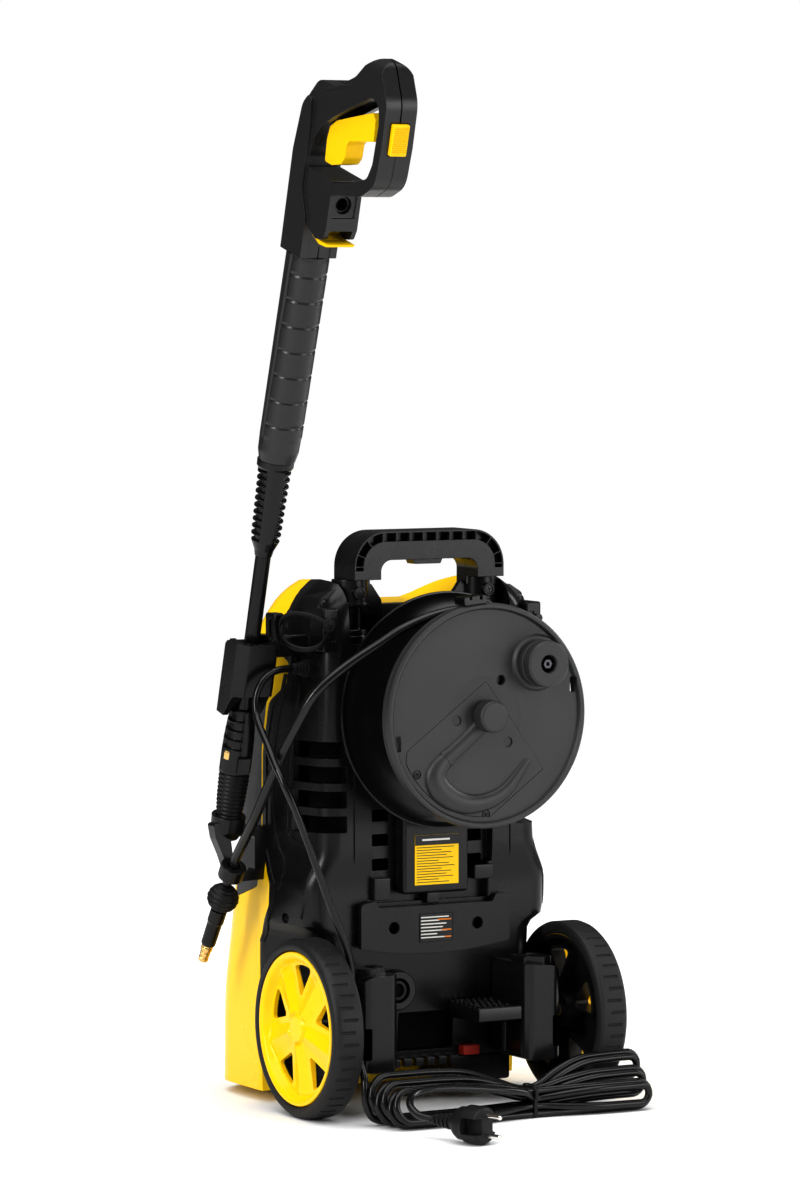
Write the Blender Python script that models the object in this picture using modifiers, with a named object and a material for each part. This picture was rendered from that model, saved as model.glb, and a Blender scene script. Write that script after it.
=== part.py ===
"""Electric pressure washer with a rear hose reel, side tool holder, gun and lance.

Machine frame: +Z up, floor at z = 0, the reel and the wheels at the rear (+Y),
the tool holder on the +X side, wheel axis along X at y = 0. All sizes in metres.
"""
import math

import bmesh
import bpy
from mathutils import Matrix, Vector

for old in list(bpy.data.objects):
    bpy.data.objects.remove(old, do_unlink=True)

# ---------------------------------------------------------------- driving dimensions
GAP = 0.0003                     # clearance between pieces that touch

WHEEL_RADIUS = 0.0905
WHEEL_INNER_X = 0.136
WHEEL_OUTER_X = 0.169
RIM_RADIUS = 0.0775

WALL = 0.004
CAVITY_REAR = 0.022              # rear wall and ribs, as one thickness
CAVITY_LOW_Z, CAVITY_TOP_Z = 0.05, 0.464
POCKET_DEPTH = 0.0022            # depth of the pockets for the dark inserts
INSERT_SINK = 0.0004             # how far an insert's face lies below the cover's
DECK_Z = 0.508                   # bottom of the trough between the two top shoulders
UNDERSIDE_Z = 0.046              # underside of the rear chassis
NOTCH_Y = -0.0765                # rear face of the top, above the columns
NOTCH_Z = 0.472                  # top of the two rear columns
RECESS_HALF_WIDTH = 0.070
RECESS_Y = -0.030
RECESS_LOW_Z = 0.209
COLUMN_Y = -0.018                # rear face of the columns
CHASSIS_Y = -0.022               # rear face of the lower chassis

POST_X, POST_Y = 0.075, -0.056
POST_RADIUS = 0.0118
HANDLE_TOP_Z = 0.585
HANDLE_HALF_WIDTH = 0.0865
HANDLE_FRONT_Y, HANDLE_REAR_Y = -0.068, -0.024
COLLAR_LOW_Z, COLLAR_HIGH_Z = 0.508, 0.536

REEL_Z = 0.405
FLANGE_RADIUS = 0.113
FLANGE_REAR_Y = 0.095
INNER_FLANGE_RADIUS = 0.120
INNER_FLANGE_Y = 0.013
DRUM_RADIUS = 0.046
WOUND_RADIUS = 0.082
CRANK_X, CRANK_Z = -0.0586, 0.456
CRANK_RADIUS = 0.0235

BRACKET_INNER_X, BRACKET_OUTER_X = 0.072, 0.117
BRACKET_REAR_Y = 0.046
BRACKET_LOW_Z, BRACKET_HIGH_Z = 0.047, 0.146

GUN_X = 0.185
GUN_Y, GUN_Z = -0.112, 0.291     # tip of the nozzle, on the lance's axis
GUN_LEAN = math.radians(16.0)    # the gun leans to the rear in its holder
HEAD_THICKNESS = 0.042

LANCE_RADIUS = 0.0078
CUP_BORE = 0.0178                # wide enough for the nozzle to pass

HOSE_DIAMETER = 0.010
HOOK_EYE = (0.1930, -0.0880, 0.2420)   # the hose passes the lower hook here
HOSE_BALL = (0.1930, -0.1080, 0.2130)
HOSE_TIP = (0.1990, -0.1420, 0.1460)

CORD_DIAMETER = 0.0075
HANK_LOW = (-0.187, 0.078, 0.0004)     # corners of the hank's box
HANK_HIGH = (0.128, 0.125, 0.0350)

YELLOW = (0.90, 0.52, 0.005)
BLACK = (0.018, 0.018, 0.019)
DARK = (0.035, 0.035, 0.037)
RUBBER = (0.022, 0.022, 0.023)

PARTS = bpy.data.collections.new("pressure_washer_parts")
bpy.context.scene.collection.children.link(PARTS)


# ---------------------------------------------------------------- placing and materials
def empty(name, location=(0, 0, 0), parent=None, rotation=(0, 0, 0)):
    """A frame to hang pieces on: the root, or a joint's axis."""
    frame = bpy.data.objects.new(name, None)
    PARTS.objects.link(frame)
    frame.location = location
    frame.rotation_euler = rotation
    frame.parent = parent
    return frame


ROOT = empty("pressure_washer")


def add_object(name, mesh):
    piece = bpy.data.objects.new(name, mesh)
    PARTS.objects.link(piece)
    return piece


def dress(piece, color, roughness=0.5, metallic=0.0, parent=None, at=(0, 0, 0), sharp=35):
    """Name the material, set the shading and hang the piece on its frame."""
    skin = bpy.data.materials.new(piece.name + "_material")
    skin.use_nodes = True
    shader = skin.node_tree.nodes["Principled BSDF"]
    shader.inputs["Base Color"].default_value = (*color, 1.0)
    shader.inputs["Roughness"].default_value = roughness
    shader.inputs["Metallic"].default_value = metallic
    piece.data.materials.clear()
    piece.data.materials.append(skin)
    piece.data.shade_smooth()
    piece.data.set_sharp_from_angle(angle=math.radians(sharp))
    piece.parent = parent or ROOT
    piece.location = Vector(piece.location) - Vector(at)
    return piece


def baked(piece):
    """Apply a piece's modifiers, or turn a curve into a welded mesh."""
    graph = bpy.context.evaluated_depsgraph_get()
    graph.update()
    mesh = bpy.data.meshes.new_from_object(piece.evaluated_get(graph))
    shape = bmesh.new()
    shape.from_mesh(mesh)
    shape.transform(piece.matrix_basis)
    bmesh.ops.remove_doubles(shape, verts=shape.verts, dist=1e-5)
    shape.to_mesh(mesh)
    shape.free()
    name = piece.name
    bpy.data.objects.remove(piece, do_unlink=True)
    return add_object(name, mesh)


def join(target, operand, operation):
    """Boolean the operand into the target, and drop the operand."""
    step = target.modifiers.new(operation.lower(), "BOOLEAN")
    step.operation = operation
    step.solver = "EXACT"
    step.object = operand
    target = baked(target)
    bpy.data.objects.remove(operand, do_unlink=True)
    return target


def cut(target, *cutters):
    for cutter in cutters:
        target = join(target, cutter, "DIFFERENCE")
    return target


def unite(target, *pieces):
    for piece in pieces:
        target = join(target, piece, "UNION")
    return target


def keep_inside(target, volume):
    return join(target, volume, "INTERSECT")


# ---------------------------------------------------------------- shapes
def arc(center_u, center_v, radius, start, end, count):
    """Points on an arc, angles in degrees."""
    points = []
    for step in range(count + 1):
        angle = math.radians(start + (end - start) * step / count)
        points.append((center_u + radius * math.cos(angle), center_v + radius * math.sin(angle)))
    return points


def filleted(corners, radii, segments=3):
    """A closed outline with each corner rounded by its own radius."""
    points = []
    for index, corner in enumerate(corners):
        here = Vector(corner)
        before = Vector(corners[index - 1]) - here
        after = Vector(corners[(index + 1) % len(corners)]) - here
        radius = radii[index] if isinstance(radii, (list, tuple)) else radii
        if radius <= 0:
            points.append(tuple(here))
            continue
        half = before.angle(after) / 2
        reach = min(radius / math.tan(half), 0.49 * before.length, 0.49 * after.length)
        radius = reach * math.tan(half)
        bisector = (before.normalized() + after.normalized()).normalized()
        center = here + bisector * (radius / math.sin(half))
        first = here + before.normalized() * reach - center
        last = here + after.normalized() * reach - center
        turn = first.angle_signed(last)
        for step in range(segments + 1):
            angle = -turn * step / segments
            points.append((center.x + first.x * math.cos(angle) - first.y * math.sin(angle),
                           center.y + first.x * math.sin(angle) + first.y * math.cos(angle)))
    return points


PLANES = {
    "XY": Matrix(((1, 0, 0), (0, 1, 0), (0, 0, 1))),
    "YZ": Matrix(((0, 0, 1), (1, 0, 0), (0, 1, 0))),
    "XZ": Matrix(((1, 0, 0), (0, 0, -1), (0, 1, 0))),
}


def prism(name, plane, outline, low, high):
    """A flat outline (or several, the later ones holes) extruded along the plane's normal."""
    outlines = [outline] if isinstance(outline[0][0], (int, float)) else outline
    curve = bpy.data.curves.new(name, "CURVE")
    curve.dimensions = "2D"
    curve.fill_mode = "BOTH"
    curve.extrude = (high - low) / 2
    for points in outlines:
        spline = curve.splines.new("POLY")
        spline.points.add(len(points) - 1)
        spline.use_cyclic_u = True
        for slot, (u, v) in zip(spline.points, points):
            slot.co = (u, v, 0, 1)
    piece = bpy.data.objects.new(name, curve)
    PARTS.objects.link(piece)
    middle = (high + low) / 2
    normal = PLANES[plane] @ Vector((0, 0, 1))
    sign = 1 if max(normal) > 0.5 else -1
    piece.matrix_basis = Matrix.Translation(normal * sign * middle) @ PLANES[plane].to_4x4()
    return baked(piece)


def beveled(piece, width, segments=1, angle=40):
    step = piece.modifiers.new("bevel", "BEVEL")
    step.width = width
    step.segments = segments
    step.limit_method = "ANGLE"
    step.angle_limit = math.radians(angle)
    step.use_clamp_overlap = True
    return baked(piece)


def box(name, low, high, bevel=0.0, segments=1):
    shape = bmesh.new()
    bmesh.ops.create_cube(shape, size=1)
    size = Vector(high) - Vector(low)
    middle = (Vector(high) + Vector(low)) / 2
    shape.transform(Matrix.Translation(middle) @ Matrix.Diagonal((*size, 1)))
    mesh = bpy.data.meshes.new(name)
    shape.to_mesh(mesh)
    shape.free()
    piece = add_object(name, mesh)
    return beveled(piece, bevel, segments) if bevel else piece


AXES = {"Z": Matrix.Identity(4), "X": Matrix.Rotation(math.radians(90), 4, "Y"),
        "-X": Matrix.Rotation(math.radians(-90), 4, "Y"),
        "Y": Matrix.Rotation(math.radians(-90), 4, "X"), "-Y": Matrix.Rotation(math.radians(90), 4, "X")}


def turned(name, profile, axis="Z", center=(0, 0, 0), steps=18):
    """Turn a closed profile of (radius, height) points about the axis.

    The profile runs down its outer side from top to bottom; a point at radius 0 closes it.
    """
    mesh = bpy.data.meshes.new(name)
    points = [(radius, 0, height) for radius, height in profile]
    ring = profile[0][0] > 0 and profile[-1][0] > 0
    edges = [(i, i + 1) for i in range(len(points) - 1)] + ([(len(points) - 1, 0)] if ring else [])
    mesh.from_pydata(points, edges, [])
    piece = add_object(name, mesh)
    screw = piece.modifiers.new("turn", "SCREW")
    screw.steps = screw.render_steps = steps
    screw.use_merge_vertices = True
    screw.merge_threshold = 0.00001
    piece.matrix_basis = Matrix.Translation(center) @ AXES[axis]
    return baked(piece)


def cylinder(name, radius, low, high, axis="Z", center=(0, 0, 0), steps=18):
    return turned(name, [(0, high), (radius, high), (radius, low), (0, low)], axis, center, steps)


def loft(name, rings):
    """A skin of flat triangles through rings of equal point count, capped at both ends."""
    shape = bmesh.new()
    rows = [[shape.verts.new(point) for point in ring] for ring in rings]
    count = len(rows[0])
    for lower, upper in zip(rows, rows[1:]):
        for i in range(count):
            j = (i + 1) % count
            shape.faces.new((lower[i], lower[j], upper[j]))
            shape.faces.new((lower[i], upper[j], upper[i]))
    shape.faces.new(reversed(rows[0]))
    shape.faces.new(rows[-1])
    bmesh.ops.recalc_face_normals(shape, faces=shape.faces)
    mesh = bpy.data.meshes.new(name)
    shape.to_mesh(mesh)
    shape.free()
    return add_object(name, mesh)


def smooth_route(points, spacing):
    """Points at an even spacing on a Catmull-Rom curve through the route."""
    route = [Vector(p) for p in points]
    ends = [2 * route[0] - route[1]] + route + [2 * route[-1] - route[-2]]
    dense = []
    for a, b, c, d in zip(ends, ends[1:], ends[2:], ends[3:]):
        for step in range(20):
            t = step / 20
            dense.append(0.5 * ((2 * b) + (c - a) * t + (2 * a - 5 * b + 4 * c - d) * t * t
                                + (3 * b - a - 3 * c + d) * t ** 3))
    dense.append(route[-1])
    total = sum((q - p).length for p, q in zip(dense, dense[1:]))
    count = max(2, round(total / spacing))
    even, walked, target = [dense[0]], 0.0, total / count
    for p, q in zip(dense, dense[1:]):
        length = (q - p).length
        while walked + length >= target and len(even) < count:
            even.append(p.lerp(q, (target - walked) / length))
            target += total / count
        walked += length
    even.append(dense[-1])
    return even


def tube(name, points, radius, resolution=2):
    curve = bpy.data.curves.new(name, "CURVE")
    curve.dimensions = "3D"
    curve.bevel_depth = radius
    curve.bevel_resolution = resolution
    curve.use_fill_caps = True
    curve.resolution_u = 1
    curve.render_resolution_u = 0
    spline = curve.splines.new("POLY")
    spline.points.add(len(points) - 1)
    for slot, point in zip(spline.points, points):
        slot.co = (*point, 1)
    piece = bpy.data.objects.new(name, curve)
    PARTS.objects.link(piece)
    return baked(piece)


def mirror(piece):
    """Turn a piece over to the other side of the machine's middle plane."""
    shape = bmesh.new()
    shape.from_mesh(piece.data)
    shape.transform(Matrix.Scale(-1, 4, (1, 0, 0)))
    bmesh.ops.reverse_faces(shape, faces=shape.faces)
    shape.to_mesh(piece.data)
    shape.free()


# ---------------------------------------------------------------- body shells
# height, rear corner (x, y), side point (x, y), front corner (x, y), front middle y
BODY_SECTIONS = [
    (0.012, (0.112, -0.034), (0.148, -0.112), (0.146, -0.232), -0.244),
    (0.100, (0.114, -0.027), (0.150, -0.110), (0.147, -0.226), -0.241),
    (0.180, (0.116, -0.022), (0.150, -0.104), (0.145, -0.212), -0.229),
    (0.192, (0.138, -0.022), (0.151, -0.092), (0.145, -0.209), -0.226),
    (0.225, (0.137, -0.022), (0.150, -0.090), (0.144, -0.203), -0.220),
    (0.285, (0.121, -0.018), (0.144, -0.100), (0.142, -0.197), -0.213),
    (0.420, (0.119, -0.018), (0.141, -0.100), (0.138, -0.186), -0.202),
    (0.480, (0.117, -0.020), (0.138, -0.092), (0.132, -0.178), -0.193),
    (0.510, (0.113, -0.024), (0.128, -0.082), (0.120, -0.166), -0.181),
    (0.528, (0.105, -0.034), (0.115, -0.078), (0.104, -0.150), -0.164),
    (0.540, (0.092, -0.048), (0.097, -0.078), (0.088, -0.130), -0.142),
]


def section_outline(rear, side, front, middle_y, inset=0.0, rear_inset=0.0):
    """One body section: a filleted outline, symmetric about the middle plane."""
    half = [(rear[0] - inset, rear[1] - rear_inset), (side[0] - inset, side[1]),
            (front[0] - inset, front[1] + inset)]
    nose = [(0.040, middle_y + inset)]
    corners = half + nose + [(-x, y) for x, y in reversed(half + nose)]
    radii = [0.022, 0.030, 0.055, 0.060]
    return filleted(corners, radii + radii[::-1], segments=3)


def body_volume(name, inset=0.0):
    """The body's outer form, shrunk by an inset."""
    rings = []
    for z, rear, side, front, middle_y in BODY_SECTIONS:
        outline = section_outline(rear, side, front, middle_y, inset)
        rings.append([(x, y, z) for x, y in outline])
    return loft(name, rings)


# seam between the front cover and the rear housing, seen from the side: (y, z)
SEAM = [(-0.110, -0.05), (-0.110, 0.165), (-0.088, 0.205), (-0.088, 0.228), (-0.112, 0.262),
        (-0.115, 0.360), (-0.104, 0.410), (-0.078, 0.430), (-0.076, 0.452), (-0.092, 0.462),
        (-0.088, 0.484), (-0.080, 0.505), (-0.083, 0.60)]


def seam_prism(name, shift, side):
    """Everything in front of the seam (side -1) or behind it (side +1)."""
    line = [(y + shift, z) for y, z in SEAM]
    far = 0.4 * side
    return prism(name, "YZ", line + [(far, line[-1][1]), (far, line[0][1])], -0.3, 0.3)


def trough(name):
    """The dip between the two top shoulders."""
    profile = [(-0.100, 0.560), (-0.098, 0.534), (-0.060, DECK_Z + 0.004), (-0.050, DECK_Z),
               (0.050, DECK_Z), (0.060, DECK_Z + 0.004), (0.098, 0.534), (0.100, 0.560)]
    return prism(name, "XZ", profile, -0.30, 0.10)


def inner_cavity(name):
    """The hollow for the motor, the pump and the handle's tubes."""
    rings = []
    for z, rear, side, front, middle_y in BODY_SECTIONS:
        if CAVITY_LOW_Z <= z < CAVITY_TOP_Z:
            outline = section_outline(rear, side, front, middle_y, WALL, CAVITY_REAR)
            rings.append([(x, y, z) for x, y in outline])
    taper = 0.97
    rings.append([(x * taper, y * taper, CAVITY_TOP_Z) for x, y, z in rings[-1]])
    return loft(name, rings)


def build_body():
    """The yellow front cover and the black rear housing, split along the seam."""
    front = keep_inside(body_volume("front_cover"), seam_prism("volume", -GAP / 2, -1))
    front = cut(front, trough("cutter"), inner_cavity("cutter"))
    # shallow pockets in the sides for the dark inserts, and one in the front for the panel
    for sign in (1, -1):
        front = cut(front, layer(insert_volume("cutter", sign, GAP), POCKET_DEPTH))
    front = cut(front, layer(panel_volume("cutter", GAP), POCKET_DEPTH))
    dress(front, YELLOW, 0.28)

    rear = keep_inside(body_volume("rear_housing"), seam_prism("volume", GAP / 2, 1))
    rear = cut(rear, trough("cutter"), inner_cavity("cutter"),
               box("top", (-0.094, NOTCH_Y, NOTCH_Z), (0.094, 0.10, 0.60)),
               box("underside", (-0.2, -0.2, 0.0), (0.2, 0.1, UNDERSIDE_Z)))
    for axis in ("X", "-X"):
        rear = cut(rear, cylinder("wheel_well", WHEEL_RADIUS + 0.006, WHEEL_INNER_X - 0.004, 0.2, axis,
                                  (0, 0, WHEEL_RADIUS), 32))
    # centre recess and its slots
    rear = cut(rear, box("cutter", (-RECESS_HALF_WIDTH, RECESS_Y, RECESS_LOW_Z),
                         (RECESS_HALF_WIDTH, 0.05, 0.330)))
    for sign in (1, -1):
        for z in (0.297, 0.272, 0.247):
            rear = cut(rear, box("cutter", (sign * 0.054 - 0.0095, -0.08, z - 0.006),
                                 (sign * 0.054 + 0.0095, 0.0, z + 0.006)))
        # four cooling slots around each column's outer corner
        for z in (0.366, 0.341, 0.316, 0.291):
            slot = filleted([(0.098, 0.01), (0.098, -0.050), (0.112, -0.068), (0.170, -0.068),
                             (0.170, 0.01)], 0)
            slot = [(sign * x, y) for x, y in slot]
            rear = cut(rear, prism("cutter", "XY", slot[::sign], z - 0.0085, z + 0.0085))
        # channel for the handle's tube, through the top of the column
        rear = cut(rear, cylinder("cutter", POST_RADIUS + 0.0022, 0.2, 0.6,
                                  center=(sign * POST_X, POST_Y, 0)))
    dress(rear, BLACK, 0.5)


def insert_outline(grow=0.0):
    """Dark side insert in the yellow cover, seen from the side: (y, z)."""
    g = grow
    corners = [(-0.118 + g, 0.262 - g), (-0.121 + g, 0.362), (-0.112 + g, 0.412), (-0.120, 0.452 + g),
               (-0.150, 0.452 + g), (-0.168 - g, 0.415), (-0.172 - g, 0.205 - g), (-0.118 + g, 0.222 - g)]
    return filleted(corners, 0.006, 2)


def insert_volume(name, sign, grow=0.0):
    low, high = (0.10, 0.20) if sign > 0 else (-0.20, -0.10)
    return prism(name, "YZ", insert_outline(grow), low, high)


def panel_volume(name, grow=0.0):
    """Dark panel on the front, with the switch."""
    outline = filleted([(-0.062 - grow, 0.16 - grow), (0.062 + grow, 0.16 - grow),
                        (0.080 + grow, 0.44 + grow), (-0.080 - grow, 0.44 + grow)], 0.014, 3)
    return prism(name, "XZ", outline, -0.35, -0.15)


def layer(volume, depth):
    """Only the part of a volume that lies above an offset of the body's outer form."""
    return cut(volume, body_volume("offset", depth))


def build_inserts():
    for name, sign in (("side_insert_left", 1), ("side_insert_right", -1)):
        insert = keep_inside(body_volume(name, INSERT_SINK),
                             layer(insert_volume("volume", sign), POCKET_DEPTH - GAP))
        dress(insert, DARK, 0.42)
    panel = keep_inside(body_volume("front_panel", INSERT_SINK),
                        layer(panel_volume("volume"), POCKET_DEPTH - GAP))
    dress(panel, DARK, 0.35)


def build_switch():
    """Rotary on and off switch on the front panel, with a grip bar across it."""
    center = Vector((0.0, -0.2175, 0.300))
    pivot = empty("switch_pivot", center, ROOT)
    profile = [(0, 0.016), (0.019, 0.016), (0.022, 0.013), (0.023, 0.0), (0, 0.0)]
    knob = turned("power_switch", profile, "-Y", steps=24)
    knob = unite(knob, box("bar", (-0.005, -0.026, -0.021), (0.005, -0.012, 0.021), 0.001))
    dress(knob, YELLOW, 0.35, parent=pivot)


def build_center():
    """Motor block behind the centre recess, the plates, the motor and the pump."""
    block = box("motor_block", (-0.038, RECESS_Y + GAP, 0.217), (0.038, -0.010, 0.300), 0.004, 2)
    dress(block, DARK, 0.5)
    plate = box("rating_plate", (-0.0255, -0.010 + GAP, 0.226), (0.0255, -0.0090, 0.277), 0.0)
    dress(plate, YELLOW, 0.4)

    top = [(0.0865, 0.2005), (0.0865, 0.2125), (0.0700, 0.2125), (0.0660, 0.2050),
           (-0.0660, 0.2050), (-0.0700, 0.2125), (-0.0865, 0.2125), (-0.0865, 0.2005)]
    bottom = [(-0.0865 + 0.173 * i / 10, 0.1560 + 0.0085 * (2 * i / 10 - 1) ** 2) for i in range(11)]
    skirt = prism("skirt_plate", "XZ", top + bottom, COLUMN_Y + 0.0015, COLUMN_Y + 0.0075)
    for sign in (1, -1):
        skirt = cut(skirt, cylinder("cutter", 0.0062, -0.1, 0.1, "Y", (sign * 0.0485, 0, 0.184), 16))
    dress(skirt, BLACK, 0.5)
    caution = box("caution_plate", (-0.0190, COLUMN_Y + 0.0075 + GAP, 0.168),
                  (0.0190, COLUMN_Y + 0.0085, 0.196))
    dress(caution, (0.25, 0.20, 0.15), 0.4)

    motor = cylinder("motor", 0.052, -0.085, 0.085, "Z", (0.0, -0.125, 0.330))
    dress(motor, (0.30, 0.31, 0.32), 0.4, 0.8)
    pump = turned("pump", [(0, 0.100), (0.030, 0.100), (0.030, 0.040), (0.046, 0.030),
                           (0.046, -0.035), (0, -0.035)], "Z",
                  (0.0, -0.125, 0.140))
    dress(pump, (0.60, 0.61, 0.62), 0.35, 0.9)


def build_chassis():
    """Accessory brackets that carry the wheels, the foot step, the water inlet and the feet."""
    for name, sign in (("bracket_left", 1), ("bracket_right", -1)):
        face = filleted([(BRACKET_INNER_X, BRACKET_LOW_Z), (BRACKET_OUTER_X, BRACKET_LOW_Z),
                         (BRACKET_OUTER_X, BRACKET_HIGH_Z - 0.004), (BRACKET_INNER_X, BRACKET_HIGH_Z)],
                        [0.010, 0.010, 0.014, 0.006], 3)
        bracket = prism("bracket", "XZ", face, CHASSIS_Y + 0.0005, BRACKET_REAR_Y)
        bracket = beveled(bracket, 0.004)
        socket = filleted([(0.078, 0.000), (0.114, 0.000), (0.114, 0.030), (0.098, 0.040), (0.078, 0.030)],
                          0.006, 2)
        bracket = unite(bracket, prism("socket", "XY", socket, 0.130, 0.1535))
        bracket = cut(bracket, cylinder("bore", 0.0085, 0.110, 0.2, "Z", (0.094, 0.018, 0), 16),
                      box("slot", (0.106, 0.020, 0.060), (0.2, 0.1, 0.092)),
                      cylinder("axle_bore", 0.0058, 0.0755, 0.2, "X", (0, 0, WHEEL_RADIUS), 16))
        if sign < 0:
            mirror(bracket)
        bracket.name = name
        dress(bracket, BLACK, 0.45)

    step = box("foot_step", (-BRACKET_INNER_X + GAP, CHASSIS_Y + 0.0005, 0.089),
               (-0.0215, 0.040, 0.105), 0.002)
    for index in range(6):
        y = -0.012 + 0.009 * index
        step = unite(step, box("rib", (-0.0695, y, 0.100), (-0.024, y + 0.003, 0.1075)))
    dress(step, BLACK, 0.45)

    inlet = turned("water_inlet", [(0.0125, 0.006), (0.0195, 0.006), (0.0205, 0.004), (0.0205, 0.0003),
                                   (0.0125, 0.0003)], "Y", (0.040, CHASSIS_Y, 0.1190), 20)
    dress(inlet, DARK, 0.35)
    for name, sign in (("front_foot_left", 1), ("front_foot_right", -1)):
        foot = box(name, (sign * 0.085 - 0.022, -0.205, 0.0), (sign * 0.085 + 0.022, -0.165, 0.012 - GAP),
                   0.002)
        dress(foot, RUBBER, 0.8)


def build_wheels():
    for side, sign in (("left", 1), ("right", -1)):
        pivot = empty("wheel_" + side + "_pivot", (0, 0, WHEEL_RADIUS), ROOT)
        axis = "X" if sign > 0 else "-X"
        inner, outer = WHEEL_INNER_X, WHEEL_OUTER_X
        tread = [(RIM_RADIUS + GAP, outer - 0.002), (0.0850, outer), (WHEEL_RADIUS, outer - 0.005),
                 (WHEEL_RADIUS, inner + 0.004), (0.0870, inner), (0.0800, inner),
                 (RIM_RADIUS + GAP, inner + 0.003)]
        tyre = turned("wheel_" + side + "_tyre", tread, axis, steps=30)
        dress(tyre, RUBBER, 0.7, parent=pivot)
        dish = [(0, outer - 0.002), (0.014, outer - 0.002), (0.018, outer - 0.006), (0.060, outer - 0.009),
                (0.0690, outer - 0.001), (RIM_RADIUS, outer - 0.001), (RIM_RADIUS, inner + 0.004),
                (0.0735, inner + 0.004), (0.0690, outer - 0.013), (0.020, outer - 0.013),
                (0.014, inner + 0.002), (0, inner + 0.002)]
        rim = turned("wheel_" + side + "_rim", dish, axis, steps=30)
        for index in range(5):
            middle = 90 + 72 * index
            window = arc(0, 0, 0.0640, middle - 17, middle + 17, 5)
            window += arc(0, 0, 0.0340, middle + 4, middle - 4, 1)
            low, high = (0.10, 0.20) if sign > 0 else (-0.20, -0.10)
            rim = cut(rim, prism("window", "YZ", window, low, high))
        rim = cut(rim, cylinder("bore", 0.0058, 0.05, outer - 0.006, axis, steps=16))
        dress(rim, YELLOW, 0.3, parent=pivot)
        axle = cylinder("axle_" + side, 0.0055, 0.076, outer - 0.0065, axis, (0, 0, WHEEL_RADIUS), 16)
        dress(axle, (0.55, 0.56, 0.57), 0.3, 1.0)


def handle_outline(low):
    """The handle's arch seen from the rear, with its legs down to a height."""
    w, inner, top = HANDLE_HALF_WIDTH, 0.056, HANDLE_TOP_Z
    outer = [(w, low)] + arc(w - 0.036, top - 0.036, 0.036, 0, 90, 5)
    outer += [(-x, z) for x, z in reversed(outer)]
    inside = [(-inner, low)] + arc(-inner + 0.012, 0.556 - 0.012, 0.012, 180, 90, 3)
    inside += [(-x, z) for x, z in reversed(inside)]
    return outer + inside


def build_handle():
    """Two grip shells on two tubes that slide in the rear housing."""
    pivot = empty("handle_pivot", (0, POST_Y, NOTCH_Z), ROOT)
    split = HANDLE_FRONT_Y + 0.020
    low = COLLAR_HIGH_Z - 0.008      # the front shell's legs reach into the collars
    front = beveled(prism("handle_front", "XZ", handle_outline(low), HANDLE_FRONT_Y, split), 0.003)
    for sign in (1, -1):
        collar = cylinder("collar", 0.0185, COLLAR_LOW_Z, COLLAR_HIGH_Z, "Z", (sign * POST_X, POST_Y, 0))
        web = [(0.064, 0.531), (0.050, 0.531), (0.040, 0.512), (0.040, 0.501), (0.064, 0.511)]
        web = [(sign * x, z) for x, z in web]
        front = unite(front, collar, prism("web", "XZ", web, POST_Y - 0.0032, POST_Y + 0.0032))
    dress(front, BLACK, 0.5, parent=pivot, at=pivot.location)
    rear = prism("handle_rear", "XZ", handle_outline(COLLAR_HIGH_Z + GAP), split + GAP, HANDLE_REAR_Y)
    rear = beveled(rear, 0.003)
    for index in range(8):
        x = -0.0525 + 0.015 * index
        rear = cut(rear, box("pocket", (x - 0.0062, HANDLE_REAR_Y - 0.006, 0.5745),
                             (x + 0.0062, 0, 0.5815)))
    dress(rear, BLACK, 0.5, parent=pivot, at=pivot.location)
    for side, sign in (("left", 1), ("right", -1)):
        x = sign * POST_X
        tube_piece = cylinder("handle_tube_" + side, POST_RADIUS, 0.215, COLLAR_LOW_Z - GAP, "Z",
                              (x, POST_Y, 0))
        dress(tube_piece, (0.06, 0.06, 0.065), 0.3, 0.5, parent=pivot, at=pivot.location)
        ring = turned("sleeve_ring_" + side,
                      [(POST_RADIUS + 0.0012, 0.0), (0.0170, 0.0), (0.0175, -0.002),
                       (0.0175, -0.0135), (POST_RADIUS + 0.0012, -0.0135)], "Z",
                      (x, POST_Y, NOTCH_Z + 0.0138))
        dress(ring, BLACK, 0.45)


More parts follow.
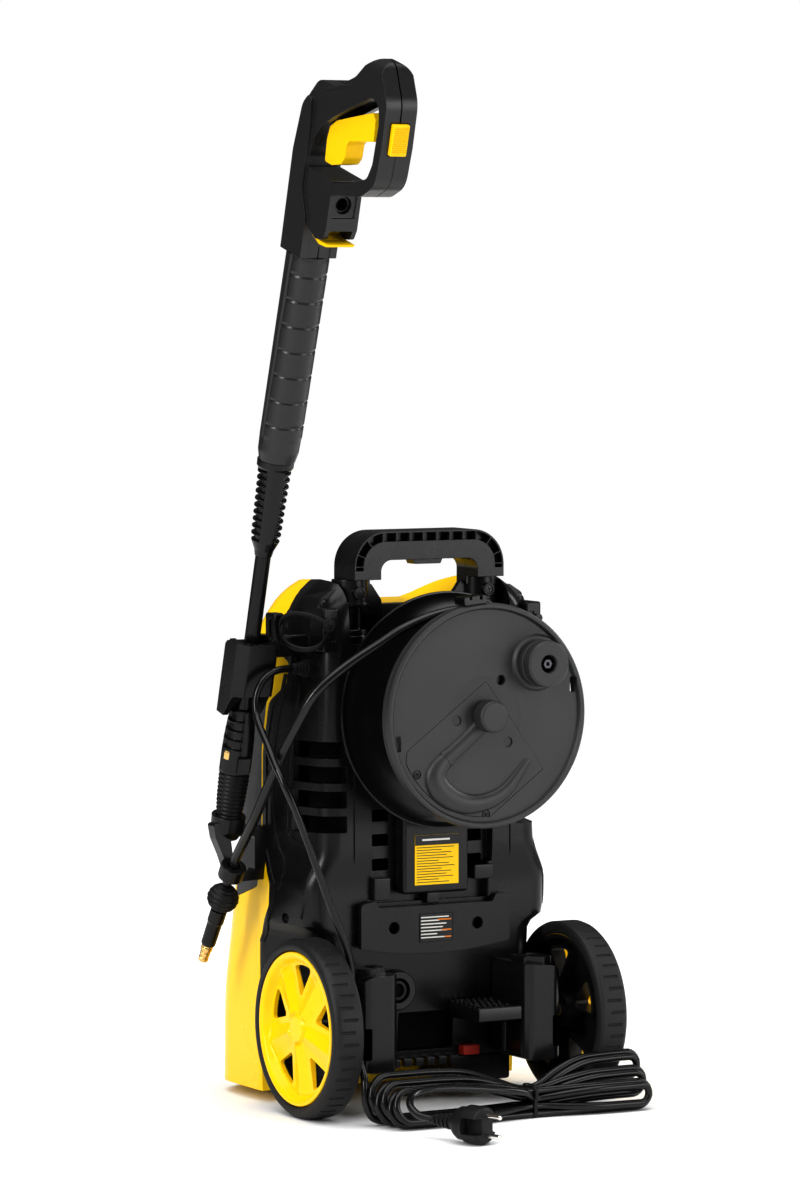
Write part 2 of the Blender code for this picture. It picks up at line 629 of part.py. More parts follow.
def build_reel():
    """Hose reel on a spindle behind the housing; it turns about Y, with a crank on its face."""
    pivot = empty("reel_pivot", (0, FLANGE_REAR_Y, REEL_Z), ROOT)
    at = pivot.location
    center = (0, 0, REEL_Z)
    y0, y1 = INNER_FLANGE_Y, FLANGE_REAR_Y
    spindle = turned("reel_spindle", [(0, 0.030), (0.012, 0.030), (0.012, 0.0), (0.032, -0.002),
                                      (0.032, COLUMN_Y + GAP), (0, COLUMN_Y + GAP)], "Y", center)
    dress(spindle, DARK, 0.45)
    r = INNER_FLANGE_RADIUS
    dish = [(0.0125, 0.022), (DRUM_RADIUS, 0.022), (0.060, 0.020), (0.100, 0.008), (r - 0.004, y0 - 0.004),
            (r, y0 - 0.002), (r, y0 - 0.006), (r - 0.006, y0 - 0.010), (0.098, 0.003), (0.058, 0.014),
            (0.0125, 0.016)]
    inner = turned("reel_inner_flange", dish, "Y", center, 32)
    dress(inner, BLACK, 0.4, parent=pivot, at=at)
    drum = turned("reel_drum", [(0.0125, y1 - 0.0105), (DRUM_RADIUS, y1 - 0.0105),
                                (DRUM_RADIUS, 0.022 + GAP), (0.0125, 0.022 + GAP)], "Y", center)
    dress(drum, BLACK, 0.5, parent=pivot, at=at)
    hose = turned("wound_hose", [(DRUM_RADIUS + 0.0008, y1 - 0.0165), (WOUND_RADIUS, y1 - 0.0165),
                                 (WOUND_RADIUS, 0.026), (DRUM_RADIUS + 0.0008, 0.026)], "Y", center, 32)
    dress(hose, RUBBER, 0.6, parent=pivot, at=at)
    rim = FLANGE_RADIUS
    pan = [(0, y1 - 0.004), (rim - 0.007, y1 - 0.004), (rim - 0.0055, y1), (rim - 0.002, y1),
           (rim, y1 - 0.003), (rim, y1 - 0.014), (rim - 0.003, y1 - 0.016), (rim - 0.010, y1 - 0.0102),
           (0, y1 - 0.0102)]
    outer = turned("reel_outer_flange", pan, "Y", center, 32)
    for x, z in ((-0.0995, 0.0275), (0.0995, -0.0275)):
        outer = cut(outer, box("slot", (x - 0.004, 0, REEL_Z + z - 0.008),
                               (x + 0.004, 0.2, REEL_Z + z + 0.008)))
    outer = cut(outer, cylinder("hole", 0.0052, 0, 0.2, "Y", (-0.0172, 0, REEL_Z + 0.035), 14))
    outer = unite(outer, cylinder("crank_boss", 0.0270, y1 - 0.008, y1, "Y", (CRANK_X, 0, CRANK_Z), 24))
    dress(outer, BLACK, 0.4, parent=pivot, at=at)

    face = y1 - 0.004 + GAP
    wedge = [(0.0, 0.037), (0.091, -0.0325)] + arc(0, 0, 0.1015, -24, -92, 8) + [(-0.066, -0.0555)]
    cover = prism("reel_pipe_cover", "XZ", [(x, z + REEL_Z) for x, z in wedge], face, face + 0.0022)
    for x, z in ((0.0332, -0.004), (-0.0253, -0.0273)):
        cover = cut(cover, cylinder("hole", 0.0052, 0, 0.2, "Y", (x, 0, REEL_Z + z), 14))
    route = [(0.012, -0.010), (0.036, -0.027), (0.056, -0.044), (0.063, -0.058), (0.055, -0.075),
             (0.036, -0.086), (0.012, -0.087), (-0.010, -0.079), (-0.030, -0.065), (-0.044, -0.052)]
    path = smooth_route([(x, face + 0.001, REEL_Z + z) for x, z in route], 0.014)
    cover = unite(cover, tube("bulge", path, 0.0078, 2))
    cover = cut(cover, box("below", (-0.2, 0, 0.2), (0.2, face, 0.6)),
                cylinder("hub", 0.0168, face + 0.0022, 0.2, "Y", center, 20))
    dress(cover, BLACK, 0.4, parent=pivot, at=at)
    cap = turned("reel_hub_cap", [(0, 0.0165), (0.0135, 0.0165), (0.0165, 0.0135), (0.0165, 0.0), (0, 0.0)],
                 "Y", (0, face + 0.0024, REEL_Z), 20)
    dress(cap, BLACK, 0.35, parent=pivot, at=at)
    hook = [(0.002, 0.1133), (0.026, 0.1119), (0.026, 0.1185), (0.002, 0.1200)]
    clip = prism("hose_clip", "XZ", filleted([(x, z + REEL_Z) for x, z in hook], 0.0008, 1), y1 - 0.020, y1)
    dress(clip, BLACK, 0.4, parent=pivot, at=at)

    knob_at = Vector((CRANK_X, face + 0.004, CRANK_Z))
    knob_pivot = empty("crank_pivot", knob_at - at, pivot)
    knob = turned("crank_knob", [(0.0085, 0.0215), (0.0215, 0.0215), (CRANK_RADIUS, 0.019),
                                 (CRANK_RADIUS, GAP), (0, GAP), (0, 0.016), (0.0085, 0.016)],
                  "Y", (0, 0, 0), 24)
    dress(knob, BLACK, 0.35, parent=knob_pivot)


# ---------------------------------------------------------------- tool holder, gun and lance
GUN_FRAME = Matrix.Translation((GUN_X, GUN_Y, GUN_Z)) @ Matrix.Rotation(-GUN_LEAN, 4, "X")


def placed(piece, matrix):
    piece.matrix_basis = matrix
    return baked(piece)


def aimed(start, end):
    """A matrix that takes the local Z axis from start towards end."""
    direction = Vector(end) - Vector(start)
    return Matrix.Translation(start) @ direction.to_track_quat("Z", "Y").to_matrix().to_4x4()


def build_holder():
    """Upper cup and lower hook on the side of the body, with a rubber strap."""
    outline = filleted([(-0.020, -0.0225), (0.016, -0.0225), (0.0235, -0.012), (0.0235, 0.014),
                        (0.014, 0.0235), (-0.020, 0.0235)], 0.006, 2)
    cup = placed(prism("holder_cup", "XY", outline, 0.116, 0.196), GUN_FRAME)
    arm = box("arm", (0.110, -0.088, 0.4595), (0.172, -0.052, 0.482), 0.003)
    buckle = box("buckle", (0.152, -0.066, 0.470), (0.166, -0.0485, 0.503), 0.002)
    cup = unite(cup, arm, buckle)
    cup = cut(cup, placed(cylinder("bore", CUP_BORE, 0.0, 0.3), GUN_FRAME),
              body_volume("skin", -GAP))
    dress(cup, BLACK, 0.45)

    seat = turned("holder_hook", [(0, 0.006), (0.0175, 0.006), (0.0165, -0.013), (0, -0.013)])
    seat = placed(seat, GUN_FRAME)
    leg = filleted([(0.174, 0.286), (0.204, 0.290), (0.194, 0.242), (0.199, 0.236), (0.196, 0.229),
                    (0.178, 0.229), (0.150, 0.232), (0.130, 0.232), (0.130, 0.284), (0.160, 0.284)],
                   0.0015, 1)
    window = filleted([(0.160, 0.274), (0.160, 0.241), (0.183, 0.241), (0.178, 0.274)], 0.004, 2)
    frame = prism("frame", "XZ", [leg, window], -0.121, -0.097)
    eye = placed(cylinder("eye", 0.0130, -0.007, 0.007, steps=14), aimed(HOOK_EYE, HOSE_BALL))
    hook = unite(seat, frame, eye)
    hook = cut(hook, placed(cylinder("bore", 0.0135, -0.009, 0.2), GUN_FRAME),
               placed(cylinder("bore", 0.0070, -0.05, 0.05, steps=14), aimed(HOOK_EYE, HOSE_BALL)),
               body_volume("skin", -GAP))
    dress(hook, DARK, 0.5)

    strap = smooth_route([(0.1215, -0.0135, 0.4975), (0.135, -0.021, 0.502), (0.148, -0.032, 0.505),
                          (0.157, -0.0405, 0.500), (0.1600, -0.0440, 0.488), (0.157, -0.0405, 0.476),
                          (0.146, -0.030, 0.470), (0.134, -0.020, 0.475), (0.1215, -0.0135, 0.4885)], 0.007)
    dress(tube("holder_strap", strap, 0.0022, 1), RUBBER, 0.6)


def head_outline():
    """Side view of the gun's head and D handle, around the opening for the fingers."""
    return filleted([(-0.020, 0.600), (-0.016, 0.700), (-0.006, 0.750), (0.020, 0.778), (0.052, 0.778),
                      (0.085, 0.800), (0.118, 0.821), (0.134, 0.820), (0.158, 0.790), (0.158, 0.745),
                      (0.155, 0.705), (0.128, 0.688), (0.070, 0.674), (0.024, 0.640), (0.022, 0.600)],
                     [0.004, 0.03, 0.03, 0.02, 0.02, 0.02, 0.012, 0.010, 0.03, 0.02, 0.02, 0.03, 0.02,
                      0.01, 0.004], 2)


def build_gun():
    """Gun with its lance; the whole lifts out of the holder along the lance's axis."""
    pivot = empty("gun_pivot", (GUN_X, GUN_Y, GUN_Z), ROOT, (-GUN_LEAN, 0, 0))
    half = HEAD_THICKNESS / 2

    body = beveled(prism("gun_body", "YZ", head_outline(), -half, half), 0.005)
    opening = filleted([(0.016, 0.676), (0.017, 0.706), (0.034, 0.736), (0.090, 0.767), (0.128, 0.784),
                        (0.142, 0.764), (0.141, 0.722), (0.130, 0.705), (0.066, 0.688)], 0.006, 2)
    slot = filleted([(0.014, 0.755), (0.060, 0.762), (0.118, 0.784), (0.128, 0.770), (0.128, 0.740),
                     (0.060, 0.690), (0.022, 0.694)], 0.003, 1)
    body = cut(body, prism("opening", "YZ", opening, -0.1, 0.1), prism("slot", "YZ", slot, -0.0105, 0.0105),
               box("lock", (-0.0095, 0.1505, 0.737), (0.0095, 0.2, 0.769)))
    inlet = box("inlet", (-0.017, 0.018, 0.634), (0.017, 0.070, 0.690), 0.003)
    body = unite(body, inlet)
    body = cut(body, cylinder("port", 0.0088, 0.052, 0.1, "Y", (0, 0, 0.664), 20),
               box("clip", (-0.0125, 0.036, 0.6), (0.0125, 0.2, 0.6385)))
    dress(body, BLACK, 0.45, parent=pivot)

    blade = filleted([(0.037, 0.735), (0.049, 0.744), (0.118, 0.7695), (0.1245, 0.764), (0.1260, 0.744),
                      (0.081, 0.732), (0.0755, 0.726), (0.0745, 0.712), (0.068, 0.705), (0.052, 0.700),
                      (0.037, 0.7005), (0.0345, 0.718)], 0.003, 1)
    trigger_pivot = empty("trigger_pivot", (0, 0.118, 0.762), pivot)
    trigger = prism("gun_trigger", "YZ", blade, -0.0095, 0.0095)
    dress(trigger, YELLOW, 0.3, parent=trigger_pivot, at=trigger_pivot.location)
    lock = box("gun_lock", (-0.0090, 0.1540, 0.7375), (0.0090, 0.1610, 0.7685), 0.0015)
    dress(lock, YELLOW, 0.3, parent=pivot)
    clip = box("inlet_release", (-0.0120, 0.0365, 0.6290), (0.0120, 0.0720, 0.6380), 0.0015)
    dress(clip, YELLOW, 0.3, parent=pivot)

    rings = []
    for w, v, rx, ry in ((0.3845, 0.002, 0.0185, 0.0185), (0.395, 0.002, 0.0205, 0.0205),
                         (0.50, 0.006, 0.0208, 0.0212), (0.5995, 0.0095, 0.0208, 0.0225)):
        rings.append([(rx * math.cos(math.tau * i / 20), v + ry * math.sin(math.tau * i / 20), w)
                      for i in range(20)])
    grip = loft("gun_grip", rings)
    for index in range(6):
        w = 0.425 + 0.027 * index
        v = 0.002 + 0.037 * (w - 0.395)
        grip = cut(grip, box("groove", (-0.03, v + 0.0185, w - 0.0015), (0.03, 0.06, w + 0.0015)))
    dress(grip, BLACK, 0.55, parent=pivot)
    collar = [(0, 0.3840), (0.0180, 0.3840)]
    for index in range(5):
        w = 0.372 - 0.014 * index
        collar += [(0.0180 - 0.0004 * index, w), (0.0166 - 0.0004 * index, w - 0.002),
                   (0.0166 - 0.0004 * index, w - 0.006), (0.0178 - 0.0004 * index, w - 0.008)]
    collar += [(0.0155, 0.300), (0.0085, 0.284), (0, 0.284)]
    dress(turned("lance_collar", collar, steps=14), BLACK, 0.45, parent=pivot)
    dress(cylinder("lance_tube", LANCE_RADIUS, 0.1215, 0.2837, steps=16), (0.03, 0.03, 0.03), 0.35, 0.4,
          parent=pivot)
    nozzle = [(0, 0.1212), (0.0125, 0.1212), (0.0150, 0.100), (0.0160, 0.078), (0.0160, 0.0540),
              (0.0150, 0.0530), (0, 0.0530)]
    dress(turned("nozzle_body", nozzle, steps=24), BLACK, 0.45, parent=pivot)
    ring = [(0, 0.0527), (0.0160, 0.0527)]
    for index in range(6):
        w = 0.048 - 0.0075 * index
        ring += [(0.0163 - 0.0006 * index, w), (0.0150 - 0.0006 * index, w - 0.002),
                 (0.0160 - 0.0006 * index, w - 0.0045)]
    ring += [(0.0118, 0.000), (0.0110, -0.006), (0.0050, -0.006), (0.0050, 0.004), (0, 0.004)]
    dress(turned("nozzle_ring", ring, steps=14), BLACK, 0.5, parent=pivot)


# ---------------------------------------------------------------- hose and power cord
HOSE_ROUTE = [(-0.055, 0.050, 0.475), (-0.030, 0.056, 0.4915), (-0.008, 0.062, 0.5035),
              (0.014, 0.065, 0.5095), (0.048, 0.0655, 0.504), (0.080, 0.063, 0.492),
              (0.104, 0.060, 0.478), (0.133, 0.054, 0.460), (0.160, 0.048, 0.439),
              (0.175, 0.041, 0.420), (0.188, 0.025, 0.383), (0.194, 0.000, 0.343),
              (0.197, -0.028, 0.303), (0.195, -0.057, 0.276), (0.1935, -0.0765, 0.258),
              HOOK_EYE, (0.1928, -0.099, 0.229)]
CORD_ROUTE = [(0.152, -0.0385, 0.449), (0.162, -0.036, 0.449), (0.173, -0.0345, 0.447),
              (0.183, -0.034, 0.441), (0.1905, -0.0335, 0.431), (0.195, -0.032, 0.418),
              (0.1965, -0.026, 0.403), (0.1985, -0.011, 0.389), (0.2005, 0.005, 0.377),
              (0.2015, 0.021, 0.361), (0.1975, 0.036, 0.339), (0.186, 0.0425, 0.308),
              (0.169, 0.043, 0.265), (0.1485, 0.042, 0.215), (0.1285, 0.042, 0.166),
              (0.1265, 0.045, 0.120), (0.1265, 0.055, 0.075), (0.1275, 0.069, 0.038),
              (0.131, 0.085, 0.015), (0.134, 0.100, 0.0072)]
TAIL_ROUTE = [(-0.020, 0.102, 0.0425), (0.030, 0.103, 0.0425), (0.070, 0.107, 0.0425),
              (0.098, 0.117, 0.0425), (0.115, 0.131, 0.0375), (0.1195, 0.146, 0.029),
              (0.115, 0.159, 0.022), (0.108, 0.172, 0.0195)]


def build_hose():
    """The hose from the reel to the lower hook, with its grommet, sleeve and coupling."""
    dress(tube("hose_run", smooth_route(HOSE_ROUTE, 0.021), HOSE_DIAMETER / 2, 2), RUBBER, 0.5)
    frame = aimed(HOSE_BALL, HOSE_TIP)
    length = (Vector(HOSE_TIP) - Vector(HOSE_BALL)).length
    angles = [math.radians(angle) for angle in range(20, 161, 28)]
    ball = [(0.0160 * math.sin(angle), 0.0150 * math.cos(angle)) for angle in angles]
    ball = [(0, ball[0][1])] + ball + [(0, ball[-1][1])]
    dress(placed(turned("hose_grommet", ball), frame), RUBBER, 0.7)
    dress(placed(cylinder("hose_sleeve", 0.0075, 0.0145, length - 0.019, steps=16), frame), BLACK, 0.4)
    tip = [(0, length), (0.0048, length), (0.0052, length - 0.006), (0.0045, length - 0.007),
           (0.0060, length - 0.0187), (0, length - 0.0187)]
    dress(placed(turned("hose_coupling", tip, steps=16), frame), (0.75, 0.55, 0.25), 0.25, 1.0)


def build_cord():
    """The mains lead: gland, run down behind the wheel, hank, tail and plug."""
    gland = turned("cord_gland", [(0, 0.0245), (0.0046, 0.0245), (0.0056, 0.010), (0.0085, 0.009),
                                  (0.0085, -0.020), (0, -0.020)], steps=16)
    gland = placed(gland, aimed((0.1270, -0.0445, 0.4480), CORD_ROUTE[0]))
    dress(cut(gland, body_volume("skin", -GAP)), RUBBER, 0.6)
    dress(tube("power_cord_run", smooth_route(CORD_ROUTE, 0.019), CORD_DIAMETER / 2, 2), RUBBER, 0.5)
    x0, x1, y0, y1 = HANK_LOW[0], HANK_HIGH[0], HANK_LOW[1], HANK_HIGH[1]
    radius = (y1 - y0) / 2
    outline = arc(x1 - radius, y0 + radius, radius, -90, 90, 8)
    outline += arc(x0 + radius, y0 + radius, radius, 90, 270, 8)
    dress(prism("power_cord_hank", "XY", outline, HANK_LOW[2], HANK_HIGH[2]), RUBBER, 0.5)
    dress(tube("power_cord_tail", smooth_route(TAIL_ROUTE, 0.014), CORD_DIAMETER / 2, 2), RUBBER, 0.5)
    back = Vector(TAIL_ROUTE[-1])
    frame = aimed(back, back + Vector((-0.36, 0.93, 0.0)))
    plug = [(0, 0.0700), (0.0170, 0.0700), (0.0185, 0.0680), (0.0190, 0.0480), (0.0150, 0.0380),
            (0.0085, 0.0330), (0.0060, 0.0300), (0.0044, 0.0010), (0, 0.0010)]
    plug = turned("power_plug", plug)
    for sign in (1, -1):
        plug = unite(plug, cylinder("pin", 0.0024, 0.060, 0.0885, center=(0, sign * 0.0095, 0), steps=8))
    dress(placed(plug, frame), RUBBER, 0.5)


def stand_on_origin():
    """Move the root so that the machine's box, without lead and hose, is centred on the origin."""
    free = ("power_cord", "power_plug", "hose_run", "hose_grommet", "hose_sleeve", "hose_coupling")
    bpy.context.view_layer.update()
    pieces = [piece for piece in PARTS.objects if piece.type == "MESH" and not piece.name.startswith(free)]
    corners = [piece.matrix_world @ vertex.co for piece in pieces for vertex in piece.data.vertices]
    for axis in (0, 1):
        low = min(corner[axis] for corner in corners)
        high = max(corner[axis] for corner in corners)
        ROOT.location[axis] = -(low + high) / 2


build_body()
build_inserts()
build_switch()
build_center()
build_chassis()
build_wheels()
build_handle()
build_reel()
build_holder()
build_gun()
build_hose()
build_cord()
stand_on_origin()
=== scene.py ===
"""Looks of the upright pressure washer: camera, light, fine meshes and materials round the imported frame.

Machine frame used here: wheel axis along X at y = 0, floor at z = 0, +Y to the rear (hose reel),
+X to the side with the tool holder. PLACE moves it into the row frame. All sizes in metres.
"""
import math

import bmesh
import bpy
import numpy as np
from mathutils import Matrix, Vector


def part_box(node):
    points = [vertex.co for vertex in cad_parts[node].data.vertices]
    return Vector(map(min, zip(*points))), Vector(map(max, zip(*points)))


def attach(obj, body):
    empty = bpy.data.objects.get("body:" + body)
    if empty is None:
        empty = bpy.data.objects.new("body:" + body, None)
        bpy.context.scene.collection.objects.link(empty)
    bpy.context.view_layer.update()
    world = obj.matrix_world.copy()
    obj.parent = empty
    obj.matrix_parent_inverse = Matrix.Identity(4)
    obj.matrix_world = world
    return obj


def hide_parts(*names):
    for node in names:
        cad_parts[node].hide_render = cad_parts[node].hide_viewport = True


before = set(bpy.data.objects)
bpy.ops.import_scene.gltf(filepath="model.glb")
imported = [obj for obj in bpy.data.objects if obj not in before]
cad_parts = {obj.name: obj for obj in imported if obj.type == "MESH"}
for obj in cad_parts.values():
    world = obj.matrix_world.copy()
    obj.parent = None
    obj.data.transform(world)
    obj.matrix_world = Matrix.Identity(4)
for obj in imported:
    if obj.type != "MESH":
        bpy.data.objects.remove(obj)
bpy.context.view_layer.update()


def middle(node):
    low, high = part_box(node)
    return (Vector(low) + Vector(high)) / 2


# ---------------------------------------------------------------- driving dimensions
GAP = 0.0003
WHEEL_RADIUS = 0.0905
WHEEL_INNER_X, WHEEL_OUTER_X = 0.136, 0.169
PLACE = Matrix.Translation(middle("wheel_left_tyre") - Vector((0.1525, 0.0, WHEEL_RADIUS)))
POST_X, POST_Y = 0.075, -0.056
POST_RADIUS = 0.0118
REEL_Z = 0.405
REEL_FACE_Y = 0.091
CRANK_X, CRANK_Z = -0.0586, 0.456
GUN_ORIGIN = Vector((0.185, -0.112, 0.291))
GUN_LEAN = math.radians(16.0)
GUN_FRAME = Matrix.Translation(GUN_ORIGIN) @ Matrix.Rotation(-GUN_LEAN, 4, "X")
CORD_DIAMETER = 0.0075
HOSE_DIAMETER = 0.010
CABLE_SPACING = 0.0035                  # between the points of the hose's and the cord's path
HOOK_EYE = (0.1930, -0.0880, 0.2420)
HOSE_BALL = (0.1930, -0.1080, 0.2130)
HOSE_TIP = (0.1990, -0.1420, 0.1460)

PIECES = bpy.data.collections.new("pressure_washer_looks")
bpy.context.scene.collection.children.link(PIECES)


# ---------------------------------------------------------------- mesh helpers
def add_object(name, data):
    piece = bpy.data.objects.new(name, data)
    PIECES.objects.link(piece)
    return piece


def from_shape(name, shape):
    """A new object from a bmesh, which is freed."""
    mesh = bpy.data.meshes.new(name)
    shape.to_mesh(mesh)
    shape.free()
    return add_object(name, mesh)


def baked(piece):
    """Apply a piece's modifiers and matrix, or turn a curve into a welded mesh."""
    graph = bpy.context.evaluated_depsgraph_get()
    graph.update()
    mesh = bpy.data.meshes.new_from_object(piece.evaluated_get(graph))
    shape = bmesh.new()
    shape.from_mesh(mesh)
    shape.transform(piece.matrix_basis)
    bmesh.ops.remove_doubles(shape, verts=shape.verts, dist=1e-5)
    shape.to_mesh(mesh)
    shape.free()
    name = piece.name
    bpy.data.objects.remove(piece, do_unlink=True)
    return add_object(name, mesh)


def join(target, operand, operation):
    step = target.modifiers.new(operation.lower(), "BOOLEAN")
    step.operation = operation
    step.solver = "EXACT"
    step.object = operand
    target = baked(target)
    bpy.data.objects.remove(operand, do_unlink=True)
    return target


def cut(target, *cutters):
    for cutter in cutters:
        target = join(target, cutter, "DIFFERENCE")
    return target


def unite(target, *pieces):
    for piece in pieces:
        target = join(target, piece, "UNION")
    return target


def keep_inside(target, volume):
    return join(target, volume, "INTERSECT")


def arc(u, v, radius, start, end, count):
    """Points on an arc, angles in degrees."""
    angles = [math.radians(start + (end - start) * step / count) for step in range(count + 1)]
    return [(u + radius * math.cos(angle), v + radius * math.sin(angle)) for angle in angles]


def filleted(corners, radii, segments=5):
    """A closed outline with each corner rounded by its own radius."""
    points = []
    for index, corner in enumerate(corners):
        here = Vector(corner)
        before = Vector(corners[index - 1]) - here
        after = Vector(corners[(index + 1) % len(corners)]) - here
        radius = radii[index] if isinstance(radii, (list, tuple)) else radii
        if radius <= 0:
            points.append(tuple(here))
            continue
        half = before.angle(after) / 2
        reach = min(radius / math.tan(half), 0.49 * before.length, 0.49 * after.length)
        radius = reach * math.tan(half)
        bisector = (before.normalized() + after.normalized()).normalized()
        center = here + bisector * (radius / math.sin(half))
        first = here + before.normalized() * reach - center
        last = here + after.normalized() * reach - center
        turn = first.angle_signed(last)
        for step in range(segments + 1):
            angle = -turn * step / segments
            points.append((center.x + first.x * math.cos(angle) - first.y * math.sin(angle),
                           center.y + first.x * math.sin(angle) + first.y * math.cos(angle)))
    return points


PLANES = {
    "XY": Matrix(((1, 0, 0), (0, 1, 0), (0, 0, 1))),
    "YZ": Matrix(((0, 0, 1), (1, 0, 0), (0, 1, 0))),
    "XZ": Matrix(((1, 0, 0), (0, 0, -1), (0, 1, 0))),
}


def prism(name, plane, outline, low, high):
    """A flat outline (or several, the later ones holes) extruded along the plane's normal."""
    outlines = [outline] if isinstance(outline[0][0], (int, float)) else outline
    curve = bpy.data.curves.new(name, "CURVE")
    curve.dimensions = "2D"
    curve.fill_mode = "BOTH"
    curve.extrude = (high - low) / 2
    for points in outlines:
        spline = curve.splines.new("POLY")
        spline.points.add(len(points) - 1)
        spline.use_cyclic_u = True
        for slot, (u, v) in zip(spline.points, points):
            slot.co = (u, v, 0, 1)
    piece = add_object(name, curve)
    normal = PLANES[plane] @ Vector((0, 0, 1))
    sign = 1 if max(normal) > 0.5 else -1
    piece.matrix_basis = Matrix.Translation(normal * sign * (high + low) / 2) @ PLANES[plane].to_4x4()
    return baked(piece)


def beveled(piece, width, segments=2, angle=40):
    step = piece.modifiers.new("bevel", "BEVEL")
    step.width = width
    step.segments = segments
    step.limit_method = "ANGLE"
    step.angle_limit = math.radians(angle)
    step.use_clamp_overlap = True
    return baked(piece)


def box(name, low, high, bevel=0.0, segments=2):
    shape = bmesh.new()
    bmesh.ops.create_cube(shape, size=1)
    size = Vector(high) - Vector(low)
    center = (Vector(high) + Vector(low)) / 2
    shape.transform(Matrix.Translation(center) @ Matrix.Diagonal((*size, 1)))
    piece = from_shape(name, shape)
    return beveled(piece, bevel, segments) if bevel else piece


AXES = {"Z": Matrix.Identity(4), "X": Matrix.Rotation(math.radians(90), 4, "Y"),
        "-X": Matrix.Rotation(math.radians(-90), 4, "Y"),
        "Y": Matrix.Rotation(math.radians(-90), 4, "X"), "-Y": Matrix.Rotation(math.radians(90), 4, "X")}


def turned(name, profile, axis="Z", center=(0, 0, 0), steps=48):
    """Turn a closed profile of (radius, height), outer side from top to bottom, about the axis."""
    mesh = bpy.data.meshes.new(name)
    points = [(radius, 0, height) for radius, height in profile]
    ring = profile[0][0] > 0 and profile[-1][0] > 0
    edges = [(i, i + 1) for i in range(len(points) - 1)] + ([(len(points) - 1, 0)] if ring else [])
    mesh.from_pydata(points, edges, [])
    piece = add_object(name, mesh)
    screw = piece.modifiers.new("turn", "SCREW")
    screw.steps = screw.render_steps = steps
    screw.use_merge_vertices = True
    screw.merge_threshold = 0.00001
    piece.matrix_basis = Matrix.Translation(center) @ AXES[axis]
    return baked(piece)


def cylinder(name, radius, low, high, axis="Z", center=(0, 0, 0), steps=32):
    return turned(name, [(0, high), (radius, high), (radius, low), (0, low)], axis, center, steps)


def rounded(profile, radius, segments=3):
    """A turned profile with its inner corners rounded; its first and last points stay sharp."""
    points = [profile[0]]
    for before, here, after in zip(profile, profile[1:], profile[2:]):
        corner, a, b = Vector(here), Vector(before) - Vector(here), Vector(after) - Vector(here)
        reach = min(radius, 0.45 * a.length, 0.45 * b.length)
        start, end = corner + a.normalized() * reach, corner + b.normalized() * reach
        for step in range(segments + 1):
            t = step / segments
            points.append(tuple(start * (1 - t) ** 2 + corner * 2 * t * (1 - t) + end * t ** 2))
    return points + [profile[-1]]


def loft(name, rings):
    """A skin through rings of equal point count, capped at both ends."""
    shape = bmesh.new()
    rows = [[shape.verts.new(point) for point in ring] for ring in rings]
    count = len(rows[0])
    for lower, upper in zip(rows, rows[1:]):
        for i in range(count):
            j = (i + 1) % count
            shape.faces.new((lower[i], lower[j], upper[j], upper[i]))
    shape.faces.new(reversed(rows[0]))
    shape.faces.new(rows[-1])
    bmesh.ops.recalc_face_normals(shape, faces=shape.faces)
    return from_shape(name, shape)


def smooth_route(points, spacing):
    """Points at an even spacing on a Catmull-Rom curve through the route."""
    route = [Vector(p) for p in points]
    ends = [2 * route[0] - route[1]] + route + [2 * route[-1] - route[-2]]
    dense = []
    for a, b, c, d in zip(ends, ends[1:], ends[2:], ends[3:]):
        for step in range(20):
            t = step / 20
            dense.append(0.5 * ((2 * b) + (c - a) * t + (2 * a - 5 * b + 4 * c - d) * t * t
                                + (3 * b - a - 3 * c + d) * t ** 3))
    dense.append(route[-1])
    total = sum((q - p).length for p, q in zip(dense, dense[1:]))
    count = max(2, round(total / spacing))
    even, walked, target = [dense[0]], 0.0, total / count
    for p, q in zip(dense, dense[1:]):
        length = (q - p).length
        while walked + length >= target and len(even) < count:
            even.append(p.lerp(q, (target - walked) / length))
            target += total / count
        walked += length
    even.append(dense[-1])
    return even


def tube(name, points, radius, resolution=4, cyclic=False):
    curve = bpy.data.curves.new(name, "CURVE")
    curve.dimensions = "3D"
    curve.bevel_depth = radius
    curve.bevel_resolution = resolution
    curve.use_fill_caps = True
    spline = curve.splines.new("POLY")
    spline.points.add(len(points) - 1)
    spline.use_cyclic_u = cyclic
    for slot, point in zip(spline.points, points):
        slot.co = (*point, 1)
    return baked(add_object(name, curve))


def ramp(value, width):
    """0 up to zero, 1 from width on, and even in between."""
    return min(1.0, max(0.0, value / width))


def placed(piece, matrix):
    piece.matrix_basis = matrix
    return baked(piece)


def aimed(start, end):
    """A matrix that takes the local Z axis from start towards end."""
    direction = Vector(end) - Vector(start)
    return Matrix.Translation(start) @ direction.to_track_quat("Z", "Y").to_matrix().to_4x4()


def merged(name, pieces):
    """Loose solids joined into one object without a Boolean, for small separate bodies."""
    shape = bmesh.new()
    for piece in pieces:
        shape.from_mesh(piece.data)
        bpy.data.objects.remove(piece, do_unlink=True)
    return from_shape(name, shape)


def mirror(piece):
    shape = bmesh.new()
    shape.from_mesh(piece.data)
    shape.transform(Matrix.Scale(-1, 4, (1, 0, 0)))
    bmesh.ops.reverse_faces(shape, faces=shape.faces)
    shape.to_mesh(piece.data)
    shape.free()
    return piece


def dress(piece, name, skin, body, nodes=(), sharp=32):
    """Name a finished piece, move it into the row frame, give it its material and shading, hide the CAD nodes
    it replaces and hang it on its body's empty.
    """
    piece.name = name
    piece.data.transform(PLACE)
    piece.data.materials.clear()
    piece.data.materials.append(skin)
    piece.data.shade_smooth()
    piece.data.set_sharp_from_angle(angle=math.radians(sharp))
    weighted = piece.modifiers.new("even shading", "WEIGHTED_NORMAL")
    weighted.keep_sharp = True
    if nodes:
        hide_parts(*nodes)
    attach(piece, body)
    return piece


# ---------------------------------------------------------------- materials
def set_inputs(node, values):
    for name, value in values.items():
        node.inputs[name].default_value = value
    return node


